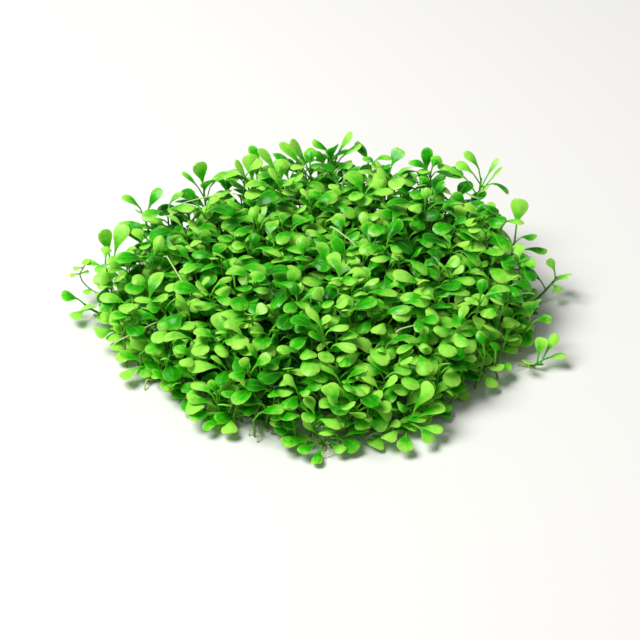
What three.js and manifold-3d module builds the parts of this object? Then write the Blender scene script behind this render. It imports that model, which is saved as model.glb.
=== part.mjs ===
// Mud mat plant, a low carpet of spoon-shaped leaves, cut off flat at the sand line.
// Millimetres, +Z up. The origin is the middle of the mat on the surface it rests on,
// +X is the mat's right and -Y its front.
import * as THREE from 'three';
import { mergeVertices } from 'three/addons/utils/BufferGeometryUtils.js';
import Module from 'manifold-3d';

const wasm = await Module();
wasm.setup();

// Driving dimensions of the mat. The canopy is the height of the leaf tips: it falls from the middle
// to the rim from a share of the way out, and is lower still at the front.
const MAT_RADIUS = 45;
const MAT_WIDER_SIDES = 3;
const MAT_CORNERS = 2;
const CANOPY_MIDDLE = 20;
const CANOPY_RIM = 17.5;
const CANOPY_FRONT_DROP = 6.5;
const CANOPY_FALL_FROM = 0.35;

// Plantlets inside the mat, set out as a sunflower sets its seeds
const PLANTLETS = 32;
const PLANTLET_REACH = 0.85;
const GOLDEN_TURN = Math.PI * (3 - Math.sqrt(5));

// One plantlet: a runner on the ground and two stems that stand on it, angles in degrees.
// A pair of numbers in square brackets is a range that chance picks from.
const RUNNER = { length: 7.4, width: 2, crown: 1.4, height: 1.2 };
const RUNNER_SWING = [-50, 50];
const RUNNER_TURNS_TRIED = [0, 20, -20, 40, -40, 60, -60, 80, -80];
const BODY_CLEARANCE = 0.25;
const STEM = { width: 0.9, sunk: 0.66, spread: 2.7, lean: 1.6 };
const STEM_LEAN_TURN = [-90, 90];
const STEM_TOP_BELOW_CANOPY = [5.3, 7.8];

// The leaves of a plantlet's two stems: the share of the stem's height that each starts at,
// its turn round the stem, and what it has beyond the length that chance picks
const TOP_PAIR = [{ height: 0.9, round: 0, longer: 0 }, { height: 0.9, round: 180, longer: 0 }];
const LOWER_LEAF = { height: 0.58, round: 90, longer: 1.4 };
const STEM_LEAVES = [[...TOP_PAIR, LOWER_LEAF], TOP_PAIR];
const LEAF = { swing: [-14, 14], rise: [52, 74], bend: [55, 95], length: [8.4, 10.6], width: [3.5, 4.5] };

// The leaves of a rim shoot start one below the other, the first this far below the top of the stem
// and none further down than this share of it
const SPRIG_LEAVES = { first: 0.7, apart: 0.8, lowest: 0.8 };

// One leaf: where its sections lie along it, how wide they are beside the whole width, and how thick.
// It ends in an edge across its tip.
const PETIOLE_WIDTH = 0.4;
const LEAF_SECTIONS = [[0.02, 0, 0.34], [0.38, 0.15, 0.42], [0.68, 1, 0.5]];
const TIP_WIDTH = 0.54;
const LEAF_CLEARANCE = 0.3;
const CLEAR_OF_STEM = 0.2;
const TURNS_TRIED = [0, 20, -20, 40, -40, 62, -62, 85];
const SHORTER_EACH_TRY = 0.035;

const DEFAULT_BEND = 40;

// The shoots that stand out round the rim, each placed by hand. A leaf is the place of its tip,
// its width, and where needed its bend in degrees and how far up the stem it starts.
const SPRIGS = {
  sprig_top_centre: {
    foot: [2.5, 34],
    top: [3.8, 40, 20.5],
    leaves: [
      [-1.2, 42, 25.4, 3, 60], [8.2, 42, 27.4, 2.2, 30], [10.6, 41, 24.6, 2, 50],
      [4, 38.2, 25.6, 3.2, 70], [0.2, 39.6, 19.2, 3, 70], [8.4, 40, 20.6, 3.2, 70],
    ],
  },
  sprig_top_left: {
    foot: [-3.5, 33],
    top: [-1.2, 37.5, 17.5],
    leaves: [
      [-6.5, 40, 26.7, 2.9, 20], [-9.4, 41.5, 24.8, 2.4, 30], [2.2, 36, 20, 3.2, 60],
    ],
  },
  sprig_back_left: {
    foot: [-9.5, 31],
    top: [-8.4, 35.5, 17],
    leaves: [
      [-14, 39.5, 24.4, 2.6, 40], [-8.6, 37.8, 22.6, 3.6, 40], [-5, 33, 20, 3.4, 70],
    ],
  },
  sprig_back_round: {
    foot: [-17, 30],
    top: [-15.4, 34.5, 15.5],
    leaves: [
      [-15.6, 37.6, 24.2, 3.7, 30], [-19.4, 37.6, 22.6, 2, 20], [-21, 33, 19.5, 3.2, 60],
      [-12, 33, 18, 3, 70],
    ],
  },
  sprig_back_right: {
    foot: [17.5, 31],
    top: [16.6, 35.8, 19.6],
    leaves: [
      [19.7, 39.2, 24.4, 3.3, 45], [12.6, 36.6, 21.6, 3, 70], [21.6, 34.4, 21.2, 3, 70],
    ],
  },
  sprig_back_tall: {
    foot: [25.6, 28],
    top: [25.2, 34.6, 17.6],
    leaves: [
      [25.6, 38.8, 25.2, 2.5, 15], [30, 35, 19.8, 3, 70], [22.4, 31, 20, 3.2, 70],
    ],
  },
  sprig_right_back: {
    foot: [34.5, 22.5],
    top: [38, 31, 21.2],
    leaves: [
      [33.8, 33.6, 27, 2.2, 75], [32, 34, 23.8, 2.5, 60], [44.8, 31.6, 17.2, 3.4, 95],
      [42, 33.4, 25.4, 1.2, 15], [43, 32.4, 23.6, 1, 10], [39.2, 27.6, 20.4, 2.9, 70],
      [27.8, 35.8, 22.6, 3, 70, 0.8], [35, 27.4, 18.6, 3.2, 70, 0.75],
    ],
  },
  sprig_right_round: {
    foot: [41.5, 12],
    top: [45.2, 17.2, 14],
    leaves: [
      [45.8, 20, 23, 3.7, 12], [49.8, 14.6, 15.8, 3.2, 70], [52.6, 16, 11.4, 3, 60, 0.7],
      [40.6, 16.6, 17.4, 3.4, 60],
    ],
  },
  sprig_right_low: {
    foot: [49.6, 10.2],
    top: [55, 13.4, 5.6],
    leaves: [
      [53.2, 15.4, 9.6, 2.3, 50], [58, 11.4, 7.6, 2, 40], [55.2, 9.8, 4.2, 2.8, 60],
      [57.4, 14.8, 5.2, 2.2, 50],
    ],
  },
  sprig_right_front: {
    foot: [46, -13.4],
    top: [49.2, -15.4, 2.2],
    leaves: [
      [52.2, -11.4, 8, 2.2, 10], [49.2, -12.4, 7.6, 2.6, 60], [54.6, -13.4, 3.4, 2.2, 40],
      [45.4, -17.6, 4, 2.6, 40],
    ],
  },
  sprig_right_stalk: {
    foot: [43.4, -7.4],
    top: [46.6, -9, 9],
    leaves: [
      [46.8, -10.4, 15.8, 3.8, 30], [51.6, -7.6, 9.4, 2.8, 70], [41.4, -12.6, 6.4, 3.2, 50, 0.4],
    ],
  },
  sprig_right_rim: {
    foot: [34.6, -16],
    top: [36.8, -17.4, 3.2],
    leaves: [
      [42.4, -17.2, 3.6, 3, 40], [38, -23.6, 2.4, 2.6, 50], [40, -20.6, 5, 3, 50],
      [32.6, -20.8, 5.4, 2.8, 60],
    ],
  },
  sprig_front_right: {
    foot: [18.3, -37.2],
    top: [19.6, -37.6, 4.4],
    leaves: [
      [24.2, -42.2, 2.6, 3.2, 50], [23.2, -34.8, 13, 3.7, 30], [26.8, -36, 7, 3.2, 70],
      [26.4, -39.4, 3.4, 2.6, 50], [13.4, -42.6, 3.6, 3.2, 60], [17.8, -45.2, 2.2, 3, 60],
    ],
  },
  sprig_front_low: {
    foot: [6.8, -35.6],
    top: [8, -36.8, 7.4],
    leaves: [
      [3, -34.2, 11.2, 3, 60], [13.8, -34.8, 10, 2.8, 60], [15.6, -38.6, 8, 3, 70],
      [3, -41.2, 5, 3.5, 70], [10.2, -42.4, 5.8, 3.2, 80], [0, -37.2, 8, 3.2, 60, 0.8],
    ],
  },
  sprig_front: {
    foot: [1.2, -40.4],
    top: [1.2, -41.8, 2.2],
    leaves: [
      [-7.8, -43.4, 3.8, 3.3, 30], [-3.8, -46, 2.6, 2.4, 40], [-0.4, -48.2, 1.4, 2, 30],
      [-3.2, -40.4, 6.8, 2.2, 30], [5.8, -45.2, 2.4, 2.4, 50],
    ],
  },
  sprig_front_left: {
    foot: [-17.4, -31.2],
    top: [-19.4, -34, 3.2],
    leaves: [
      [-27.2, -35.8, 3.8, 2.9, 30], [-19.6, -36.2, 7.2, 2.8, 70], [-23.8, -38.8, 2.2, 2, 30],
      [-18.6, -40, 2.4, 3, 50], [-12.6, -36.4, 5.8, 3, 50],
    ],
  },
  sprig_left_front: {
    foot: [-34.6, -15],
    top: [-37, -16.8, 3.4],
    leaves: [
      [-43, -20.8, 3, 3.2, 40], [-43.4, -16.4, 6.2, 3.3, 40], [-40.4, -12.8, 8.6, 3.4, 50],
      [-34.2, -22, 3.6, 2.8, 50],
    ],
  },
  sprig_left_rim: {
    foot: [-41.4, -4.4],
    top: [-43.8, -5.4, 3.6],
    leaves: [
      [-49.2, -8.6, 6.6, 3.4, 40], [-47.6, -1.4, 6.6, 3.6, 60], [-44.8, -11, 3, 2.8, 50],
    ],
  },
  sprig_left_low: {
    foot: [-49.2, 5.4],
    top: [-53.2, 5.6, 3.6],
    leaves: [
      [-58, 4.4, 6.6, 3.5, 60], [-51.2, 0.6, 6, 3.2, 60], [-55.6, 1.2, 3, 2.8, 40],
    ],
  },
  sprig_left_tall: {
    foot: [-43.6, 9.6],
    top: [-47.4, 12.4, 9.8],
    leaves: [
      [-48.6, 13.8, 18.6, 3, 15], [-43.8, 17, 18, 3.3, 50], [-40.8, 11.4, 14, 3, 70],
      [-48.6, 8, 9, 3, 70], [-54.4, 13.6, 9.4, 2, 40, 0.75],
    ],
  },
  sprig_left_up: {
    foot: [-36.6, 18],
    top: [-40, 22.6, 16],
    leaves: [
      [-45.2, 23.4, 21, 2.8, 80], [-36, 25.6, 22, 2.6, 60], [-41, 19, 19.4, 3.1, 70],
      [-46.2, 20.6, 15.6, 3, 70],
    ],
  },
  sprig_back_hidden: {
    foot: [3, 41.6],
    top: [5, 43, 6],
    leaves: [
      [7.6, 47.85, 8.4, 3, 50], [0, 46.6, 11, 3.2, 50], [11, 44.4, 12, 3.2, 60],
      [3.4, 47.4, 14, 3, 40],
    ],
  },
  sprig_left_high: {
    foot: [-25.6, 26],
    top: [-26.6, 31, 17.4],
    leaves: [
      [-27.8, 32.4, 25, 3.3, 20], [-31.9, 32.2, 22.2, 1.9, 40], [-25, 28.8, 22.2, 3.4, 60],
      [-17.8, 29.8, 23.8, 2.5, 90],
    ],
  },
};

// A stream of numbers from 0 to 1, the same for the same seed
function makeChance(seed) {
  let state = (seed * 2654435761) >>> 0;
  return () => {
    state = (Math.imul(state, 1664525) + 1013904223) >>> 0;
    return state / 4294967296;
  };
}

const radians = (degrees) => THREE.MathUtils.degToRad(degrees);
const between = (low, high, share) => low + (high - low) * share;
const pick = (range, chance) => between(...range, chance());

// How far the mat reaches from its middle in the direction of an angle
function matReach(angle) {
  return MAT_RADIUS + MAT_WIDER_SIDES * Math.cos(2 * angle) + MAT_CORNERS * Math.cos(4 * angle);
}

// Height of the leaf tips over a point of the ground
function canopyHeight(x, y) {
  const angle = Math.atan2(y, x);
  const share = Math.hypot(x, y) / matReach(angle);
  const rim = CANOPY_RIM - CANOPY_FRONT_DROP * Math.max(0, -Math.sin(angle));
  return between(CANOPY_MIDDLE, rim, THREE.MathUtils.smoothstep(share, CANOPY_FALL_FROM, 1));
}

// A closed solid from a BufferGeometry
function solidOf(geometry) {
  const bare = geometry.index ? geometry.toNonIndexed() : geometry.clone();
  bare.deleteAttribute('normal');
  bare.deleteAttribute('uv');
  const merged = mergeVertices(bare, 1e-5);
  return new wasm.Manifold(new wasm.Mesh({
    numProp: 3,
    vertProperties: merged.attributes.position.array,
    triVerts: new Uint32Array(merged.index.array),
  }));
}

// A BufferGeometry of a solid, moved so that the place given is its origin
function geometryOf(solid, place) {
  const mesh = solid.getMesh();
  const geometry = new THREE.BufferGeometry();
  geometry.setAttribute('position', new THREE.BufferAttribute(new Float32Array(mesh.vertProperties), 3));
  geometry.setIndex(new THREE.BufferAttribute(new Uint32Array(mesh.triVerts), 1));
  geometry.translate(-place.x, -place.y, -place.z);
  geometry.computeVertexNormals();
  return geometry;
}

// A solid through rings of three points, closed with a flat end at the first ring and with a straight
// edge from left to right at the last
function loft(rings, [left, right]) {
  const last = 3 * (rings.length - 1);
  const faces = [0, 1, 2];
  for (let start = 0; start < last; start += 3) {
    for (const [k, next] of [[0, 1], [1, 2], [2, 0]]) {
      const here = start + k;
      const beside = start + next;
      faces.push(here, here + 3, beside, beside, here + 3, beside + 3);
    }
  }
  const edge = last + 3;
  faces.push(last, edge, last + 1, last + 1, edge, edge + 1);
  faces.push(last + 1, edge + 1, last + 2, last + 2, edge + 1, edge, last + 2, edge, last);
  const geometry = new THREE.BufferGeometry().setFromPoints([...rings.flat(), left, right]);
  geometry.setIndex(faces);
  return geometry;
}

// The point and directions at a share of the way along a leaf, whose midrib is an arc in an upright plane
function leafFrame(leaf, share) {
  const pitch = leaf.rise - leaf.bend * share;
  const radius = leaf.length / leaf.bend;
  const out = radius * (Math.sin(leaf.rise) - Math.sin(pitch));
  const up = radius * (Math.cos(pitch) - Math.cos(leaf.rise));
  const heading = new THREE.Vector3(Math.cos(leaf.azimuth), Math.sin(leaf.azimuth), 0);
  return {
    point: leaf.root.clone().addScaledVector(heading, out).add(new THREE.Vector3(0, 0, up)),
    side: new THREE.Vector3(-heading.y, heading.x, 0),
    above: heading.clone().multiplyScalar(-Math.sin(pitch)).add(new THREE.Vector3(0, 0, Math.cos(pitch))),
  };
}

// A leaf as a solid: flat above, with a keel below. extra makes it that much larger on all sides,
// and from leaves out the first part of it, up to that share of its length.
function leafSolid(leaf, extra = 0, from = 0) {
  const rings = LEAF_SECTIONS.map(([share, wide, thick]) => {
    const { point, side, above } = leafFrame(leaf, Math.max(share, from));
    const half = Math.max(PETIOLE_WIDTH, leaf.width * wide) / 2 + extra;
    return [
      point.clone().addScaledVector(side, -half).addScaledVector(above, extra),
      point.clone().addScaledVector(side, half).addScaledVector(above, extra),
      point.clone().addScaledVector(above, -thick - extra),
    ];
  });
  const tip = leafFrame(leaf, 1 + extra / leaf.length);
  const half = leaf.width * TIP_WIDTH / 2 + extra;
  return solidOf(loft(rings, [-half, half].map((way) => tip.point.clone().addScaledVector(tip.side, way))));
}

// A leaf from the place of its tip
function leafTo(root, [x, y, z, width, bend = DEFAULT_BEND]) {
  const chord = new THREE.Vector3(x, y, z).sub(root);
  const arc = radians(bend);
  return {
    root,
    azimuth: Math.atan2(chord.y, chord.x),
    rise: Math.asin(chord.z / chord.length()) + arc / 2,
    bend: arc,
    length: chord.length() * (arc / 2) / Math.sin(arc / 2),
    width,
  };
}

// A square stem from its foot to its top, one face turned towards its first leaf
function stemSolid(stem, extra = 0) {
  const line = stem.top.clone().sub(stem.foot);
  const along = line.clone().normalize();
  const across = new THREE.Vector3(-Math.sin(stem.faces), Math.cos(stem.faces), 0);
  across.addScaledVector(along, -across.dot(along)).normalize();
  const width = STEM.width + 2 * extra;
  const geometry = new THREE.BoxGeometry(width, width, line.length());
  geometry.translate(0, 0, line.length() / 2);
  geometry.applyMatrix4(new THREE.Matrix4().makeBasis(across.clone().cross(along), across, along));
  geometry.translate(stem.foot.x, stem.foot.y, stem.foot.z);
  return solidOf(geometry);
}

// A creeping runner that lies on the ground, cut flat below
function runnerSolid(runner, extra = 0) {
  const foot = RUNNER.width / 2 + extra;
  const crown = RUNNER.crown / 2 + extra;
  const section = new THREE.Shape([
    new THREE.Vector2(0, -foot),
    new THREE.Vector2(0, foot),
    new THREE.Vector2(-RUNNER.height, crown),
    new THREE.Vector2(-RUNNER.height, -crown),
  ]);
  const length = runner.length + 2 * extra;
  const geometry = new THREE.ExtrudeGeometry(section, { depth: length, bevelEnabled: false });
  geometry.translate(0, 0, -length / 2);
  geometry.rotateY(Math.PI / 2);
  geometry.rotateZ(runner.heading);
  geometry.translate(runner.middle.x, runner.middle.y, 0);
  return solidOf(geometry);
}

// A point a share of the way up a stem
const upStem = (stem, share) => stem.foot.clone().lerp(stem.top, share);

// The runner, stems and leaves of a rim shoot
function planSprig(name, { foot, top, leaves }) {
  const ground = new THREE.Vector3(foot[0], foot[1], STEM.sunk);
  const [x, y] = leaves[0];
  const stem = { foot: ground, top: new THREE.Vector3(...top), faces: Math.atan2(y - top[1], x - top[0]) };
  const stemLength = stem.top.distanceTo(stem.foot);
  const upShare = (order) => {
    const fromTop = SPRIG_LEAVES.first + SPRIG_LEAVES.apart * order;
    return 1 - Math.min(SPRIG_LEAVES.lowest, fromTop / stemLength);
  };
  return {
    name,
    place: new THREE.Vector3(foot[0], foot[1], 0),
    runner: {
      middle: ground,
      heading: Math.atan2(foot[1], foot[0]),
      length: RUNNER.length / 2,
    },
    stems: [stem],
    leaves: leaves.map((tip, order) => leafTo(upStem(stem, tip[5] ?? upShare(order)), tip)),
  };
}

// The runner, stems and wished-for leaves of a plantlet inside the mat
function planPlantlet(index, turn) {
  const chance = makeChance(index + 1);
  const angle = index * GOLDEN_TURN;
  const out = Math.sqrt((index + 0.5) / PLANTLETS) * PLANTLET_REACH * matReach(angle);
  const place = new THREE.Vector3(out * Math.cos(angle), out * Math.sin(angle), 0);
  const heading = angle + radians(turn + pick(RUNNER_SWING, chance));
  const stems = [-1, 1].map((end) => {
    const foot = new THREE.Vector3(
      place.x + end * STEM.spread * Math.cos(heading),
      place.y + end * STEM.spread * Math.sin(heading),
      STEM.sunk,
    );
    const lean = angle + radians(pick(STEM_LEAN_TURN, chance));
    const top = new THREE.Vector3(
      foot.x + STEM.lean * Math.cos(lean),
      foot.y + STEM.lean * Math.sin(lean),
      canopyHeight(foot.x, foot.y) - pick(STEM_TOP_BELOW_CANOPY, chance),
    );
    return { foot, top, faces: radians(360 * chance()) };
  });
  const wishes = [];
  stems.forEach((stem, which) => {
    for (const { height, round, longer } of STEM_LEAVES[which]) {
      wishes.push({
        root: upStem(stem, height),
        azimuth: stem.faces + radians(round + pick(LEAF.swing, chance)),
        rise: radians(pick(LEAF.rise, chance)),
        bend: radians(pick(LEAF.bend, chance)),
        length: pick(LEAF.length, chance) + longer,
        width: pick(LEAF.width, chance),
      });
    }
  });
  const name = `plantlet_${String(index + 1).padStart(2, '0')}`;
  return { name, place, runner: { middle: place, heading, length: RUNNER.length }, stems, wishes };
}

// The same leaf on its nth try: turned away from its first direction and a little shorter
function turned(wish, attempt) {
  return {
    ...wish,
    azimuth: wish.azimuth + radians(TURNS_TRIED[attempt]),
    length: wish.length * (1 - SHORTER_EACH_TRY * attempt),
  };
}

// Two boxes that share some space
const boxesMeet = (a, b) => [0, 1, 2].every((k) => a.min[k] <= b.max[k] && b.min[k] <= a.max[k]);

// What already grows: its owner, its solid, and the part of it that the owner's own leaves keep off
const grown = [];

function keep(owner, solid, free) {
  grown.push({ owner, solid, box: solid.boundingBox(), free });
}

const keepLeaf = (owner, leaf) => keep(owner, leafSolid(leaf), leafSolid(leaf, 0, CLEAR_OF_STEM));

// Whether a leaf would have room beside everything that grows already
function hasRoom(owner, leaf) {
  const body = leafSolid(leaf, LEAF_CLEARANCE);
  const free = leafSolid(leaf, 0, CLEAR_OF_STEM);
  const box = body.boundingBox();
  return grown.every((other) => {
    if (!boxesMeet(box, other.box)) return true;
    if (other.owner !== owner) return body.intersect(other.solid).isEmpty();
    return free.intersect(other.free).isEmpty();
  });
}

// The runner and stems of a plan, larger by extra on all sides
const bodySolids = (plan, extra = 0) => [
  runnerSolid(plan.runner, extra),
  ...plan.stems.map((stem) => stemSolid(stem, extra)),
];

function keepBody(plan) {
  for (const solid of bodySolids(plan)) keep(plan.name, solid, solid);
}

// Whether a plan's runner and stems would have room beside everything that grows already
function bodyHasRoom(plan) {
  return bodySolids(plan, BODY_CLEARANCE).every((solid) => {
    const box = solid.boundingBox();
    return grown.every((other) => !boxesMeet(box, other.box) || solid.intersect(other.solid).isEmpty());
  });
}

const sprigs = Object.entries(SPRIGS).map(([name, sprig]) => planSprig(name, sprig));
for (const sprig of sprigs) {
  keepBody(sprig);
  for (const leaf of sprig.leaves) keepLeaf(sprig.name, leaf);
}

const plantlets = [];
for (let index = 0; index < PLANTLETS; index++) {
  const tries = RUNNER_TURNS_TRIED.map((turn) => planPlantlet(index, turn));
  const plantlet = tries.find(bodyHasRoom);
  if (!plantlet) continue;
  keepBody(plantlet);
  plantlets.push(plantlet);
}
for (const plantlet of plantlets) {
  for (const wish of plantlet.wishes) {
    const tries = TURNS_TRIED.map((_, attempt) => turned(wish, attempt));
    const leaf = tries.find((candidate) => hasRoom(plantlet.name, candidate));
    if (leaf) keepLeaf(plantlet.name, leaf);
  }
}

// One mesh for each plantlet or sprig, its runner, stems and leaves grown into one solid
const leafGreen = new THREE.MeshStandardMaterial({ color: 0x4f9e1f, roughness: 0.45, metalness: 0 });
const sprigGreen = new THREE.MeshStandardMaterial({ color: 0x78c832, roughness: 0.45, metalness: 0 });

const mat = new THREE.Group();
for (const plan of [...sprigs, ...plantlets]) {
  const pieces = grown.filter((piece) => piece.owner === plan.name).map((piece) => piece.solid);
  const solid = pieces.reduce((whole, piece) => whole.add(piece));
  const mesh = new THREE.Mesh(geometryOf(solid, plan.place), plan.wishes ? leafGreen : sprigGreen);
  mesh.name = plan.name;
  mesh.position.copy(plan.place);
  mat.add(mesh);
}

export default mat;
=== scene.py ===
"""Mud mat plant: creeping runners, upright stems and spoon-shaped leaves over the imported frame."""
import sys
import logging
import math
from dataclasses import dataclass, field, replace
from enum import Enum
from typing import Callable, Iterator, Optional

import bpy
import numpy as np
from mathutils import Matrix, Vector
from mathutils.geometry import intersect_point_line


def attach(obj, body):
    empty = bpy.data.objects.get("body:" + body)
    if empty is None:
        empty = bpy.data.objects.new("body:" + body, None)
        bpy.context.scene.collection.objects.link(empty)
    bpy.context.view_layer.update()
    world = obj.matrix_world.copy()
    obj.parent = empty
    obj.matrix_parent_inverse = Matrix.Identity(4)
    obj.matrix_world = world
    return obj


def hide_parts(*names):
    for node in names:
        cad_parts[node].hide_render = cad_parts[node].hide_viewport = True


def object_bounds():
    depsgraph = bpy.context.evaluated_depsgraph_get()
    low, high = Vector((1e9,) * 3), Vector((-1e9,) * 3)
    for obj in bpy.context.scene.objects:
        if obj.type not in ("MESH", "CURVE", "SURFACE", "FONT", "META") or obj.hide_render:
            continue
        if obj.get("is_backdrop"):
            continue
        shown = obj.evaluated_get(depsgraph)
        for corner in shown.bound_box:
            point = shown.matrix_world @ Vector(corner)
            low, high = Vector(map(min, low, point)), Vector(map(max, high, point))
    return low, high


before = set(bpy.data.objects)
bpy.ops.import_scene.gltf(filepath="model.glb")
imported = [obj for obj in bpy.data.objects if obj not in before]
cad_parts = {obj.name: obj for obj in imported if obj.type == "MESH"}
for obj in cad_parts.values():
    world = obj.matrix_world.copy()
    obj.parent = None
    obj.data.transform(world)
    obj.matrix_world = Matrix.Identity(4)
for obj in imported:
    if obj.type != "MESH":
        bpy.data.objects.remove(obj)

log = logging.getLogger("mud_mat")

MM = 0.001
BODY = "root"
UP = Vector((0.0, 0.0, 1.0))
# The share of a leaf's length, from its root, at which its blade is widest
WIDEST = 0.75
# The lower and the upper end of what a number may be
Range = tuple[float, float]


class Slot(Enum):
    """The record's material slots."""

    LEAF = "leaf_green"
    SHOOT = "shoot_lime"


class Kind(Enum):
    """What a plan grows: a plantlet inside the mat or a sprig at its rim."""

    PLANTLET = "plantlet"
    SPRIG = "sprig"


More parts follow.
